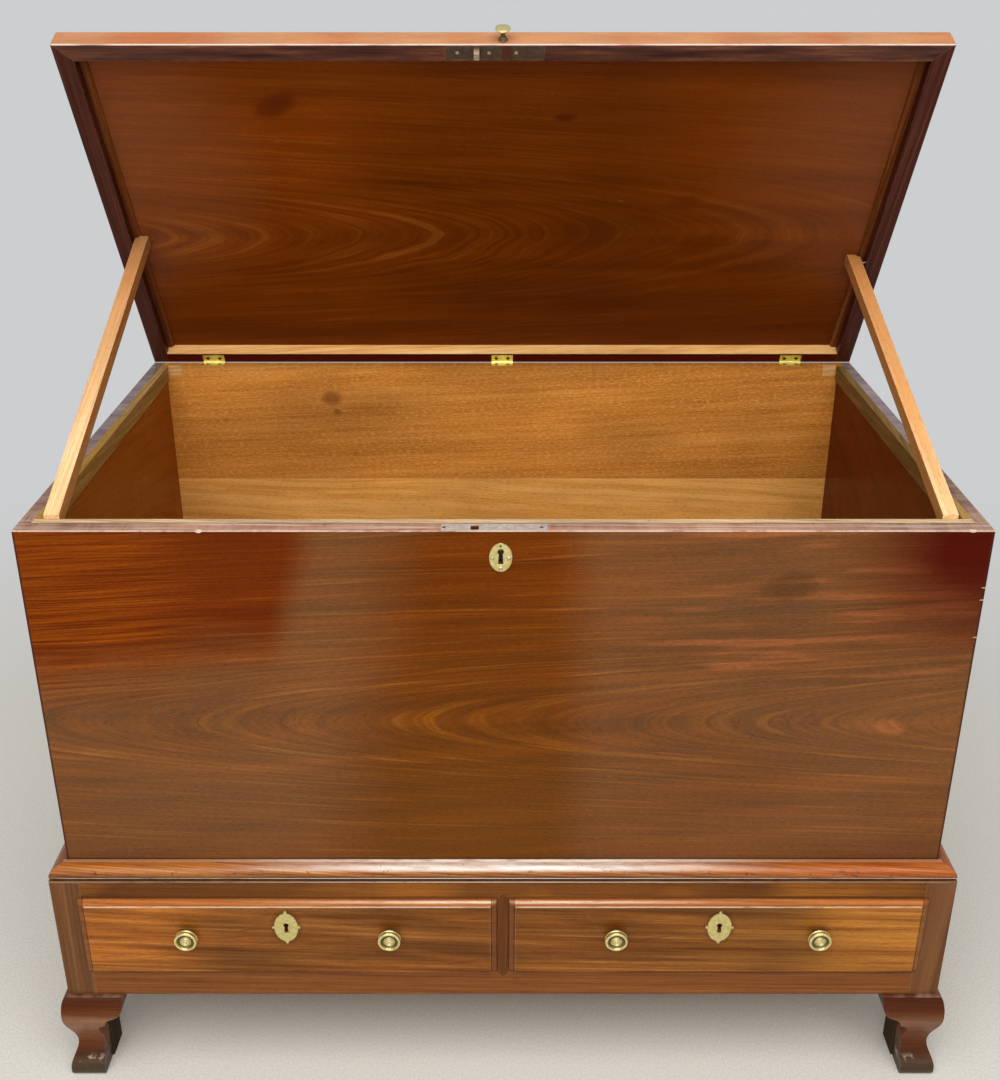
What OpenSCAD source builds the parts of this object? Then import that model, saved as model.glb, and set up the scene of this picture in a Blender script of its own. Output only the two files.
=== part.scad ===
// Silver chest on stand: a deep mahogany chest with a framed lift-up lid held open by two wooden stays,
// standing on a low stand with two lipped drawers and four ogee bracket feet.
// Millimetres, +Z up, front towards -Y. The floor is Z = 0 and the origin is under the middle of the bounds.
// Sizes across the depth are measured from the front face of the chest, see from_front().

/* [Chest] */
// Width of the chest over its side boards
chest_w = 1300; // [1000:10:1500]
// Depth of the chest from its front face to its back
chest_d = 665; // [560:5:760]
// Height of the chest above the stand
chest_h = 574; // [480:2:700]
// Thickness of the front board
front_t = 27; // [25:1:32]
// Thickness of the side boards
side_t = 27; // [24:1:32]
// Thickness of the back boards
back_t = 20; // [14:1:24]
// Thickness of the bottom boards
bottom_t = 14; // [10:1:20]
// Wood left under the bottom boards' groove
bottom_lift = 3; // [2:1:8]
// Depth of the groove that holds the bottom boards
bottom_groove = 6; // [4:1:8]
// Height of the seam between the two back boards above the chest's base
back_seam = 344; // [200:2:420]
// Number of lapped dovetails down each front corner
corner_tails = 7; // [4:1:9]
// Wood of the front board left in front of the dovetails
corner_lap = 8; // [6:1:12]

/* [Rim] */
// Thickness of the battens let in round the inside of the rim
batten_t = 12.5; // [10:0.5:16]
// Height of those battens
batten_h = 28; // [20:1:36]
// Width of the side boards' own polished rim outside the battens
side_rim = 17; // [14:0.5:20]
// Width of the front board's own polished rim
front_rim = 22; // [20:0.5:24]
// Width of the small patches let into the back's top corners
patch_w = 24; // [16:1:32]
// Height of those patches
patch_h = 20; // [12:1:26]
// Thickness of those patches
patch_t = 8; // [5:1:12]

/* [Lid] */
// Thickness of the lid over its rails
lid_t = 37; // [32:1:44]
// Depth of the rails below the lid's panel
lid_recess = 24; // [20:1:28]
// Width of the front and side rails
lid_rail_w = 27; // [24:1:34]
// Width of the rear rail
lid_rear_w = 21; // [18:1:28]
// Gap between the closed lid and the rim
lid_gap = 0.8; // [0.6:0.1:1.5]
// Radius along the lid's upper edges
lid_edge_r = 5; // [2:0.5:8]
// Angle from shut at which the lid stands propped
lid_open = 62.7; // [50:0.1:75]
// Width of the thin slips along the side rails
slip_w = 10; // [6:1:12]
// Height of those slips
slip_h = 6; // [4:0.5:8]

/* [Hinges] */
// Distance of the outer hinges' middles from the sides of the chest
hinge_inset = 112; // [80:1:240]
// Length of each hinge
hinge_len = 40; // [36:1:60]
// Width of each leaf let into the wood
leaf_w = 18; // [14:1:18]
// Thickness of each leaf
leaf_t = 2; // [1.5:0.1:2.5]
// Distance of the hinge line behind the chest's back
axis_off = 0.3; // [0.1:0.1:1]
// Radius of the knuckles
knuckle_r = 3.2; // [2.8:0.1:4.5]
// Radius of the pins
pin_r = 1.6; // [1.2:0.1:2]
// Running clearance round pins and pivots
running_fit = 0.05; // [0.02:0.01:0.09]
// Gap between knuckles, and between a moving piece and what it passes
part_gap = 0.3; // [0.2:0.05:0.6]
// Radius of the hinge screws' heads
screw_head_r = 3.2; // [2.4:0.1:3.6]
// Length of the hinge screws
screw_len = 14; // [10:1:18]
// Distance of each hinge screw from the middle of its leaf
screw_x = 11; // [8:1:14]

/* [Stays] */
// Width and depth of each stay
stay_w = 21; // [16:0.5:24]
// Distance from the hinge line at which the left stay bears on the lid
stay_seat_left = 281; // [240:1:330]
// The same for the right stay
stay_seat_right = 239; // [230:1:330]
// How much nearer the middle the right stay stands
stay_right_in = 6; // [0:0.5:12]
// Width of the corner taken off each stay's upper end where it passes the slip
stay_corner = 7.5; // [7.5:0.5:10]
// Distance of each foot's centre below the rim
stay_foot_drop = 5.5; // [3:0.5:12]
// Distance of each stay's pivot from the lid's panel
stay_pivot_in = 14; // [12:0.5:16]
// Radius of the pivot screws
stay_screw_r = 2; // [1.8:0.1:2.4]
// Radius of the pivot screws' heads
stay_head_r = 4.2; // [3.6:0.1:5]

/* [Stand] */
// How far the stand stands out past the chest at the front and sides
stand_over = 23; // [18:0.5:28]
// Height of the stand's frame above the feet
stand_h = 220; // [190:2:260]
// Width and depth of the four posts
post_w = 44; // [36:1:52]
// Thickness of the front rails
rail_t = 24; // [20:1:30]
// Height of the rail above the drawers
top_rail_h = 35; // [30:1:42]
// Height of the rail below the drawers
bottom_rail_h = 51; // [40:1:60]
// Width of the divider between the drawers
divider_w = 28.5; // [24:0.5:34]
// Thickness of the stand's side boards
stand_side_t = 20; // [14:1:24]
// Thickness of the stand's back board
stand_back_t = 16; // [10:1:20]
// Length of the tenons on rails and boards
tenon = 18; // [12:1:24]
// Width of the runners and kickers under and over the drawers
runner_w = 34; // [26:1:44]
// Thickness of the runners and kickers
runner_t = 18; // [12:1:22]

/* [Moulding] */
// Height of the waist moulding above the stand's frame
mould_h = 24; // [20:1:32]
// Height of the plain member at its foot
mould_base = 3; // [2:0.5:5]
// Height of the sunk quirk above that member
mould_quirk = 4; // [3:0.5:6]
// Depth of the quirk
quirk_d = 3; // [1:0.5:4]
// Height of the fillet above the quirk
mould_fillet = 6; // [4:0.5:8]
// Width of the flat at its top
mould_flat = 5; // [2:0.5:8]

/* [Feet] */
// Height of the feet
foot_h = 160; // [120:2:190]
// Width of each bracket at the top
foot_w = 86; // [76:1:120]
// Width of each bracket at the pad
foot_pad_w = 42; // [34:1:50]
// How far the swell and the pad stand out past the frame
foot_swell = 12; // [8:0.5:18]
// How far the waist is drawn in
foot_waist = 2; // [0:0.5:5]
// Thickness of a bracket measured from the face of the frame
foot_t = 24; // [20:1:30]
// How far the foot's flat top stands out past the frame
foot_ledge = 3.5; // [1:0.5:6]
// Width of the glue block inside each foot
foot_block = 21; // [16:1:28]
// Its depth from front to back
foot_block_deep = 38; // [20:1:48]
// Gap between the glue block and the floor
foot_block_lift = 1; // [0.5:0.5:6]

/* [Drawers] */
// How far the lips lap over the frame at the top and sides
lip_over = 6; // [4:0.5:8]
// Thickness of the lips
lip_t = 7; // [5:0.5:10]
// Full thickness of the drawer fronts
drawer_front_t = 23; // [20:0.5:26]
// Clearance round each drawer
drawer_gap = 1; // [0.6:0.1:2]
// Room between the drawers' backs and the stand's back board
drawer_rear_gap = 49; // [20:1:160]
// Thickness of the drawer sides and backs
drawer_side_t = 12; // [9:0.5:14]
// Thickness of the drawer bottoms
drawer_bottom_t = 8; // [6:0.5:10]
// Height of the bottom's groove above the drawer's lower edge
drawer_groove_z = 10; // [8:1:16]
// Number of dovetails at each drawer corner
drawer_tails = 3; // [2:1:4]
// Height of the lips' rounded edge
thumb_h = 11; // [8:0.5:14]

/* [Brass] */
// Radius of the drawer knobs
knob_r = 17; // [13:0.5:20]
// How far the drawer knobs stand out
knob_out = 17; // [14:0.5:22]
// Distance of the knobs from the middle of their drawer
knob_x = 152; // [110:1:190]
// Height of the knobs above the drawers' lower edge
knob_z = 77; // [60:1:90]
// Width of the drawers' escutcheons
drawer_plate_w = 36; // [28:1:42]
// Height of the drawers' escutcheons
drawer_plate_h = 54; // [44:1:60]
// Height of their middle above the drawers' lower edge
drawer_plate_z = 91; // [80:1:98]
// Width of the chest's oval escutcheon
chest_plate_w = 31; // [28:0.5:40]
// Height of the chest's escutcheon
chest_plate_h = 43; // [40:0.5:54]
// Depth of its middle below the rim
chest_plate_z = 39; // [34:1:50]
// How far they stand outside the middle of their drawer
drawer_plate_x = 3; // [0:0.5:12]
// Thickness of the escutcheons
plate_t = 1.6; // [1:0.1:2.5]
// Radius of the lid's knob
lid_knob_r = 11.5; // [9:0.5:14]
// How far the lid's knob stands out
lid_knob_out = 21; // [16:0.5:26]
// Height of the lid's knob above the lid's underside
lid_knob_up = 12; // [10:0.5:20]

/* [Locks] */
// Left end of the chest lock's plate from the middle
lock_left = 83; // [70:1:95]
// Right end of that plate from the middle
lock_right = 59; // [50:1:75]
// Width of the plates of the chest lock
lock_plate_w = 19; // [14:0.5:20]
// Thickness of those plates
lock_plate_t = 2; // [1.5:0.1:2.5]
// Height of the chest lock's case
lock_h = 64; // [56:1:80]
// Thickness of the lock cases
lock_t = 12; // [10:0.5:13]
// Distance of the staple from the middle
staple_x = 38; // [26:1:60]
// Width of the staple
staple_w = 8; // [4:0.5:10]
// Depth of the staple from front to back
staple_d = 11; // [7:0.5:11.5]
// Reach of the staple below the lid
staple_len = 15; // [10:0.5:18]
// Right end of the lid's link plate from the middle
link_right = 60; // [40:1:80]
// Width of the link plate
link_plate_w = 22; // [14:0.5:23]
// Distance of the chest's keyhole left of the middle
key_x = 3.4; // [0:0.2:10]

/* [Hidden] */

$fn = 48;

mahogany = [0.45, 0.22, 0.1];
dark_mahogany = [0.33, 0.15, 0.08];
golden_mahogany = [0.55, 0.33, 0.13];
oak = [0.68, 0.45, 0.22];
pale_wood = [0.78, 0.58, 0.36];
brass = [0.8, 0.74, 0.42];
steel = [0.55, 0.54, 0.52];

stand_z = foot_h + stand_h;
rim_z = stand_z + chest_h;
half_w = chest_w / 2;
hinge_x = half_w - hinge_inset;
drawer_len = chest_d - stand_back_t - drawer_rear_gap;
stand_half = half_w + stand_over;
stand_front = -stand_over;
stand_back_y = chest_d;

hinge_y = chest_d + axis_off;
hinge_z = rim_z + lid_gap / 2;
lid_under = rim_z + lid_gap;
panel_under = lid_under + lid_recess;
lid_top = lid_under + lid_t;
// How far in front of and behind the chest's front face the whole object reaches
front_reach = stand_over + lip_t + knob_out;
rear_reach = hinge_y - axis_off * cos(lid_open) + (lid_top - hinge_z) * sin(lid_open);
front_y = (front_reach - rear_reach) / 2;

opening_lo = foot_h + bottom_rail_h;
opening_hi = stand_z - top_rail_h;
opening_in = divider_w / 2;
opening_out = stand_half - post_w;
drawer_mid = (opening_in + opening_out) / 2;
drawer_half = (opening_out - opening_in) / 2 - drawer_gap;
drawer_z = opening_lo + drawer_gap;
drawer_h = opening_hi - opening_lo - 2 * drawer_gap;
lip_half = drawer_half + drawer_gap + lip_over;
lip_top = opening_hi + lip_over;
drawer_face_y = stand_front - lip_t;
drawer_body_y = drawer_face_y + drawer_front_t;
inner_w = half_w - side_t;
seat_left_pair = [stay_seat_left, -1];
seat_right_pair = [stay_seat_right, 1];
stay_x_out = half_w - max(lid_rail_w, side_rim + batten_t) - 0.5;
function stay_out(s) = s > 0 ? stay_x_out - stay_right_in : stay_x_out;

// Moves what is measured from the chest's front face to the model's own origin
module from_front() {
  translate([0, front_y, 0]) children();
}

// Swings what is drawn on the shut lid up to its propped angle
module on_open_lid() {
  from_front() translate([0, hinge_y, hinge_z]) rotate([-lid_open, 0, 0])
    translate([0, -hinge_y, -hinge_z]) children();
}

// A block between two corners
module block(lo, hi) {
  translate(lo) cube(hi - lo);
}

module both_sides() {
  children();
  mirror([1, 0, 0]) children();
}

// Extrudes an outline drawn with x = depth and y = height along the width
module along_width(from, to) {
  translate([from, 0, 0]) rotate([90, 0, 90]) linear_extrude(to - from) children();
}

// Extrudes an outline drawn with x = width and y = height from front to back
module along_depth(from, to) {
  translate([0, to, 0]) rotate([90, 0, 0]) linear_extrude(to - from) children();
}

// Outlines of dovetails that grow from y = base to y = end, spread over the heights z0 to z1
module tails(z0, z1, count, base, end) {
  pitch = (z1 - z0) / count;
  root = pitch * 0.27;
  tip = root + abs(end - base) / 6;
  for (i = [0 : count - 1]) {
    mid = z0 + (i + 0.5) * pitch;
    polygon([[base, mid - root], [base, mid + root], [end, mid + tip], [end, mid - tip]]);
  }
}

// A keyhole outline, w across at its round head, its foot the given drop below the head's centre
module keyhole(w, drop) {
  circle(d = w);
  polygon([[-w * 0.27, 0], [-w * 0.42, -drop], [w * 0.42, -drop], [w * 0.27, 0]]);
}

module chest_keyhole() {
  translate([-key_x, rim_z - chest_plate_z + 8.5]) keyhole(8.4, 18.5);
}

// The dovetails of the chest's front corners, as an outline of depth and height
module corner_outline() {
  intersection() {
    tails(stand_z, rim_z, corner_tails, front_t, corner_lap);
    translate([corner_lap, stand_z]) square([front_t - corner_lap, chest_h]);
  }
}

// The groove that holds the bottom boards, as the whole block of the boards
module bottom_boards() {
  lo = stand_z + bottom_lift;
  block([-(inner_w + bottom_groove), front_t - bottom_groove, lo],
        [inner_w + bottom_groove, chest_d - back_t, lo + bottom_t]);
}

module lock_case_shape() {
  y0 = (front_rim - lock_t) / 2;
  block([-lock_left + 8, y0, rim_z - lock_h], [lock_right - 16, y0 + lock_t, rim_z - lock_plate_t]);
}

module selvedge_shape() {
  y0 = (front_rim - lock_plate_w) / 2;
  block([-lock_left, y0, rim_z - lock_plate_t], [lock_right, y0 + lock_plate_w, rim_z]);
}

module staple_way(extra) {
  w = staple_w + extra;
  d = staple_d + extra;
  block([-staple_x - w / 2, (front_rim - d) / 2, lid_under - staple_len - extra],
        [-staple_x + w / 2, (front_rim + d) / 2, lid_under]);
}

module front_board() {
  color(mahogany) from_front() difference() {
    block([-half_w, 0, stand_z], [half_w, front_t, rim_z]);
    both_sides() along_width(inner_w, half_w + 1) corner_outline();
    block([-(half_w - side_rim), front_rim, rim_z - batten_h], [half_w - side_rim, front_t + 1, rim_z + 1]);
    bottom_boards();
    lock_case_shape();
    selvedge_shape();
    selvedge_screw_places() wood_screw(2.6, 16, 0);
    chest_plate_pins() pin_shape();
    along_depth(-1, front_rim / 2) chest_keyhole();
    chest_plate_hole() cylinder(r = 1.3, h = 12, center = true);
  }
}

module side_board() {
  difference() {
    along_width(inner_w, half_w) {
      translate([front_t, stand_z]) square([chest_d - front_t, chest_h]);
      corner_outline();
    }
    block([half_w - side_rim - 30, corner_lap - 1, rim_z - batten_h], [half_w - side_rim, chest_d - back_t, rim_z + 1]);
    block([half_w - side_rim - 30, chest_d - back_t, stand_z - 1], [half_w - side_rim, chest_d + 1, rim_z + 1]);
    bottom_boards();
  }
}

module side_board_left() {
  color(dark_mahogany) from_front() mirror([1, 0, 0]) side_board();
}

module side_board_right() {
  color(dark_mahogany) from_front() side_board();
}

module patch_shapes() {
  x1 = half_w - side_rim - batten_t - 1;
  both_sides() block([x1 - patch_w, chest_d - back_t, rim_z - patch_h], [x1, chest_d - back_t + patch_t, rim_z]);
}

module leaf_beds(z0, z1) {
  for (x = [-hinge_x, 0, hinge_x])
    block([x - hinge_len / 2, chest_d - leaf_w, z0], [x + hinge_len / 2, chest_d + 1, z1]);
}

// Countersunk holes or, a little smaller, the screws themselves, up or down from a leaf's face
module hinge_screws(z, way, slack) {
  for (x = [-hinge_x, 0, hinge_x], s = [-1, 1])
    translate([x + s * screw_x, chest_d - leaf_w / 2, z]) mirror([0, 0, way > 0 ? 1 : 0])
      wood_screw(screw_head_r, screw_len, slack);
}

// A countersunk wood screw pointing down from its flat head at z = 0
module wood_screw(head, len, slack) {
  shank = head * 0.45;
  rotate_extrude() polygon([[0, slack], [head + slack, slack], [head + slack, -0.4],
    [shank + slack, -0.4 - head + shank], [shank + slack, -len + shank], [0, -len]]);
}

module back_board_upper() {
  color(oak) from_front() difference() {
    block([-(half_w - side_rim), chest_d - back_t, stand_z + back_seam], [half_w - side_rim, chest_d, rim_z]);
    patch_shapes();
    leaf_beds(rim_z - leaf_t, rim_z + 1);
    knuckle_beds();
    hinge_screws(rim_z, -1, 0);
  }
}

module back_board_lower() {
  color(oak) from_front()
    block([-(half_w - side_rim), chest_d - back_t, stand_z], [half_w - side_rim, chest_d, stand_z + back_seam]);
}

module back_corner_patches() {
  color(pale_wood) from_front() patch_shapes();
}

module chest_bottom() {
  color(oak) from_front() bottom_boards();
}

module side_battens() {
  color(pale_wood) from_front() both_sides()
    block([half_w - side_rim - batten_t, front_rim + batten_t, rim_z - batten_h],
          [half_w - side_rim, chest_d - back_t, rim_z]);
}

module front_batten() {
  color(pale_wood) from_front()
    block([-(half_w - side_rim), front_rim, rim_z - batten_h],
          [half_w - side_rim, front_rim + batten_t, rim_z]);
}

// The chest's lock: a case with its slot and keyhole, and the pin that a pipe key turns on
module lock_case() {
  back = (front_rim + lock_t) / 2 - 3;
  color(steel) from_front() {
    difference() {
      lock_case_shape();
      staple_way(3);
      selvedge_screw_places() wood_screw(2.6, 16, 0);
      along_depth(-1, back) chest_keyhole();
    }
    along_depth(4, back + 1) translate([-key_x, rim_z - chest_plate_z + 8.5]) circle(r = 1.9);
  }
}

module selvedge_screw_places() {
  for (x = [-lock_left + 4, lock_right - 8])
    translate([x, front_rim / 2, rim_z]) children();
}

module lock_selvedge() {
  color(steel) from_front() difference() {
    selvedge_shape();
    staple_way(3);
    selvedge_screw_places() wood_screw(2.6, 16, 0);
  }
}

// An ellipse as a formula, so that its width and height can differ
module ellipse(w, h) {
  polygon([for (a = [0 : 7.5 : 352.5]) [w / 2 * cos(a), h / 2 * sin(a)]]);
}

module chest_plate_pins() {
  z = rim_z - chest_plate_z;
  for (p = [[0, -chest_plate_h / 2 + 5], [chest_plate_w / 2 - 4.5, -1.5], [-chest_plate_w / 2 + 4.5, -1.5]])
    translate([p.x - key_x, 0, z + p.y]) rotate([90, 0, 0]) children();
}

// The hole at the top of the plate, whose pin is lost
module chest_plate_hole() {
  translate([-key_x, 0, rim_z - chest_plate_z + chest_plate_h / 2 - 4.5]) rotate([90, 0, 0]) children();
}

// A round-headed pin, its head against the face of the plate
module pin_shape() {
  translate([0, 0, -4.5]) cylinder(r = 1, h = 4.5 + plate_t);
  translate([0, 0, plate_t]) cylinder(r1 = 2.9, r2 = 2.4, h = 0.7);
  translate([0, 0, plate_t + 0.7]) cylinder(r1 = 2.4, r2 = 1.1, h = 0.7);
}

module chest_escutcheon() {
  color(brass) from_front() difference() {
    along_depth(-plate_t, 0) difference() {
      translate([-key_x, rim_z - chest_plate_z]) ellipse(chest_plate_w, chest_plate_h);
      chest_keyhole();
    }
    chest_plate_pins() pin_shape();
    chest_plate_hole() cylinder(r = 1.3, h = 12, center = true);
  }
}

module chest_screws() {
  color(steel) from_front() {
    hinge_screws(rim_z, -1, 0);
    selvedge_screw_places() wood_screw(2.6, 16, 0);
    chest_plate_pins() pin_shape();
  }
}

// The three knuckle lengths of a hinge: the chest's leaf has the outer two, the lid's leaf the middle one
module knuckles(outer) {
  third = hinge_len / 3;
  for (x = [-hinge_x, 0, hinge_x], k = outer ? [-1, 1] : [0])
    translate([x + k * third - third / 2 + part_gap / 2, hinge_y, hinge_z]) rotate([0, 90, 0])
      cylinder(r = knuckle_r, h = third - part_gap);
}

module leaf_plates(z0, z1) {
  for (x = [-hinge_x, 0, hinge_x])
    block([x - hinge_len / 2, chest_d - leaf_w, z0], [x + hinge_len / 2, hinge_y, z1]);
}

module knuckle_room(outer) {
  third = hinge_len / 3;
  for (x = [-hinge_x, 0, hinge_x], k = outer ? [0] : [-1, 1])
    translate([x + k * third - third / 2 - part_gap / 2, hinge_y - knuckle_r - part_gap, hinge_z - knuckle_r - part_gap])
      cube([third + part_gap, knuckle_r + part_gap + 1, 2 * knuckle_r + 2 * part_gap]);
}

// The hollows in the wood that the knuckles lie in
module knuckle_beds() {
  for (x = [-hinge_x, 0, hinge_x])
    translate([x - hinge_len / 2, hinge_y, hinge_z]) rotate([0, 90, 0])
      cylinder(r = knuckle_r + part_gap, h = hinge_len);
}

module pin_way(slack) {
  for (x = [-hinge_x, 0, hinge_x])
    translate([x - hinge_len / 2, hinge_y, hinge_z]) rotate([0, 90, 0])
      cylinder(r = pin_r + slack, h = hinge_len);
}

module hinge_chest_leaves() {
  color(brass) from_front() difference() {
    union() {
      difference() {
        leaf_plates(rim_z - leaf_t, rim_z);
        knuckle_room(true);
      }
      knuckles(true);
    }
    pin_way(0);
    hinge_screws(rim_z, -1, 0);
  }
}

module hinge_lid_leaves() {
  color(brass) on_open_lid() difference() {
    union() {
      difference() {
        leaf_plates(lid_under, lid_under + leaf_t);
        knuckle_room(false);
      }
      knuckles(false);
    }
    pin_way(running_fit);
    hinge_screws(lid_under, 1, 0);
  }
}

module hinge_pins() {
  color(brass) from_front() pin_way(0);
}

// Outline of the waist moulding: x is the distance out from the chest, y the height above the frame
module moulding_outline() {
  z1 = mould_base;
  z2 = z1 + mould_quirk;
  z3 = z2 + mould_fillet;
  out = stand_over;
  curve_w = out - mould_flat - 2;
  curve_h = mould_h - z3 - 1.5;
  polygon(concat(
    [[0, 0], [out, 0], [out, z1], [out - quirk_d, z1], [out - quirk_d, z2], [out - 1, z2], [out - 1, z3]],
    [for (a = [0 : 9 : 90]) [mould_flat + curve_w * cos(a), z3 + curve_h * sin(a)]],
    [[mould_flat, mould_h], [0, mould_h]]));
}

module moulding_front_run() {
  difference() {
    along_width(-stand_half, stand_half) translate([0, stand_z]) mirror([1, 0]) moulding_outline();
    both_sides() mitre_cut(half_w, stand_half);
  }
}

// Takes off a front corner of the moulding on the line of its mitre, x0 and x1 being the inner and outer corners
module mitre_cut(x0, x1) {
  reach = x1 - x0;
  translate([0, 0, stand_z - 1]) linear_extrude(mould_h + 2)
    polygon([[x0, 0], [x1 + 1, -reach - 1], [x1 + 1, 1], [x0, 1]]);
}

module waist_moulding_front() {
  color(golden_mahogany) from_front() moulding_front_run();
}

module waist_moulding_sides() {
  color(golden_mahogany) from_front() both_sides() difference() {
    translate([half_w, 0, stand_z]) rotate([90, 0, 0]) translate([0, 0, -chest_d])
      linear_extrude(chest_d + stand_over) moulding_outline();
    translate([0, 0, stand_z - 1]) linear_extrude(mould_h + 2)
      polygon([[half_w - 1, 1], [half_w - 1, -stand_over - 1], [stand_half + 1, -stand_over - 1], [half_w, 0]]);
  }
}

// The centre divider seen from the front, with its two pointed ends
module divider_outline() {
  point = divider_w * 0.58;
  polygon([[-opening_in, opening_lo], [0, opening_lo - point], [opening_in, opening_lo],
           [opening_in, opening_hi], [0, opening_hi + point], [-opening_in, opening_hi]]);
}

module rail_tenon(z0, z1) {
  both_sides() block([opening_out, stand_front + rail_t / 3, z0], [opening_out + tenon, stand_front + rail_t * 2 / 3, z1]);
}

module stand_top_rail() {
  color(mahogany) from_front() difference() {
    union() {
      block([-opening_out, stand_front, opening_hi], [opening_out, stand_front + rail_t, stand_z]);
      rail_tenon(opening_hi + 5, stand_z - 5);
    }
    along_depth(stand_front - 1, stand_front + rail_t + 1) divider_outline();
    both_sides() translate([drawer_mid + drawer_plate_x, 0, 0]) lock_bolt_room();
  }
}

module stand_bottom_rail() {
  color(mahogany) from_front() difference() {
    union() {
      block([-opening_out, stand_front, foot_h], [opening_out, stand_front + rail_t, opening_lo]);
      rail_tenon(foot_h + 8, opening_lo - 8);
    }
    along_depth(stand_front - 1, stand_front + rail_t + 1) divider_outline();
  }
}

module centre_divider() {
  color(mahogany) from_front() along_depth(stand_front, stand_front + rail_t) divider_outline();
}

module post_tenon_room() {
  rail_tenon(opening_hi + 5, stand_z - 5);
  rail_tenon(foot_h + 8, opening_lo - 8);
}

module side_tenons() {
  x0 = stand_half - stand_side_t * 0.75;
  x1 = stand_half - stand_side_t * 0.25;
  for (ends = [[stand_front + post_w - tenon, stand_front + post_w], [stand_back_y - post_w, stand_back_y - post_w + tenon]])
    both_sides() block([x0, ends[0], foot_h + 8], [x1, ends[1], stand_z - 8]);
}

module stand_posts() {
  color(mahogany) from_front() difference() {
    both_sides() for (y = [stand_front, stand_back_y - post_w])
      block([stand_half - post_w, y, foot_h], [stand_half, y + post_w, stand_z]);
    post_tenon_room();
    side_tenons();
    stand_back_shape();
  }
}

module stand_side() {
  block([stand_half - stand_side_t, stand_front + post_w, foot_h], [stand_half, stand_back_y - post_w, stand_z]);
}

module stand_side_left() {
  color(dark_mahogany) from_front() {
    mirror([1, 0, 0]) stand_side();
    intersection() {
      side_tenons();
      block([-stand_half, stand_front, foot_h], [0, stand_back_y, stand_z]);
    }
  }
}

module stand_side_right() {
  color(dark_mahogany) from_front() {
    stand_side();
    intersection() {
      side_tenons();
      block([0, stand_front, foot_h], [stand_half, stand_back_y, stand_z]);
    }
  }
}

module stand_back_shape() {
  lap = post_w / 2;
  block([-(opening_out + lap), stand_back_y - stand_back_t, foot_h + 12], [opening_out + lap, stand_back_y, stand_z]);
}

module stand_back() {
  color(oak) from_front() stand_back_shape();
}

runner_y0 = stand_front + rail_t;
runner_y1 = stand_back_y - stand_back_t;

// A side runner or kicker: it lies between the posts and passes the front post on its inner side
module side_bearer(z0, z1) {
  block([opening_out - runner_w / 2, runner_y0, z0], [opening_out, stand_back_y - stand_back_t, z1]);
  block([opening_out, stand_front + post_w, z0], [stand_half - stand_side_t, stand_back_y - post_w, z1]);
}

module drawer_runners() {
  color(oak) from_front() {
    both_sides() side_bearer(opening_lo - runner_t, opening_lo);
    block([-runner_w, runner_y0, opening_lo - runner_t], [runner_w, runner_y1, opening_lo]);
  }
}

module drawer_guides() {
  color(oak) from_front() {
    both_sides() block([opening_out, stand_front + post_w, opening_lo],
                       [stand_half - stand_side_t, stand_back_y - post_w, opening_lo + runner_t]);
    block([-opening_in, runner_y0, opening_lo], [opening_in, runner_y1, opening_lo + runner_t]);
  }
}

module drawer_kickers() {
  color(oak) from_front() {
    both_sides() side_bearer(opening_hi, stand_z);
    block([-runner_w, runner_y0, opening_hi], [runner_w, runner_y1, stand_z]);
  }
}

// Half-turn blend from 0 to 1
function ease(t) = (1 - cos(180 * t)) / 2;

// How far an ogee foot stands out past the frame at the height z above the floor
pad_z = foot_h * 0.09;
waist_z = foot_h * 0.375;
swell_z = foot_h * 0.76;
function ogee(z) =
  z < pad_z ? foot_swell - 1
  : z < waist_z ? foot_swell - 1 - (foot_swell - 1 + foot_waist) * ease((z - pad_z) / (waist_z - pad_z))
  : z < swell_z ? -foot_waist + (foot_swell + foot_waist) * ease((z - waist_z) / (swell_z - waist_z))
  : let(t = (z - swell_z) / (foot_h - swell_z)) foot_ledge + (foot_swell - foot_ledge) * sqrt(max(0, 1 - t * t));

// Section of a foot: x is the distance out from the frame's face, y the height
module foot_section() {
  steps = 32;
  polygon(concat([[-foot_t, foot_h], [-foot_t, 0]],
    [[foot_swell - 5, 0], [foot_swell - 2.2, 2], [foot_swell - 1, 5.5]],
    [for (i = [2 : steps - 1]) let(z = foot_h * i / steps) [ogee(z), z]],
    [for (t = [0.9, 0.95, 0.98, 1]) let(z = foot_h * (31 + t) / 32) [ogee(z), z]]));
}

// Face of a bracket: x is the distance in from the frame's corner, y the height
module foot_face() {
  wing = foot_w - foot_pad_w;
  edge = [[0, 0], [0, 0.13], [0.03, 0.23], [0.035, 0.375], [0.02, 0.45], [-0.05, 0.507], [-0.08, 0.55], [-0.06, 0.588],
    [0.055, 0.615], [0.22, 0.63], [0.235, 0.68], [0.28, 0.703], [0.364, 0.722], [0.477, 0.738], [0.59, 0.75],
    [0.705, 0.766], [0.8, 0.788], [0.868, 0.82], [0.915, 0.856], [0.96, 0.925], [1, 1]];
  polygon(concat([[-foot_swell - 1, 0]],
    [for (e = edge) [foot_pad_w + wing * e[0], foot_h * e[1]]],
    [[-foot_swell - 1, foot_h]]));
}

// The bracket along the front or back, before its end is mitred or cut square
module face_bracket(section_out) {
  intersection() {
    translate([0, section_out, 0]) rotate([90, 0, -90]) translate([0, 0, -foot_w])
      linear_extrude(foot_w + foot_swell + 2) foot_section();
    translate([0, section_out + foot_t + 1, 0]) rotate([90, 0, 0])
      linear_extrude(foot_t + foot_swell + 2) foot_face();
  }
}

// Everything to one side of the line of a foot's mitre
module mitre_half() {
  far = foot_w + 60;
  translate([0, 0, -1]) linear_extrude(foot_h + 2) polygon([[-30, -30], [far, -30], [far, far]]);
}

// A front foot whose frame corner is at the origin, reaching along +X and +Y
module front_foot() {
  intersection() {
    face_bracket(0);
    mitre_half();
  }
  mirror([1, -1, 0]) intersection() {
    face_bracket(0);
    mitre_half();
  }
}

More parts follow.
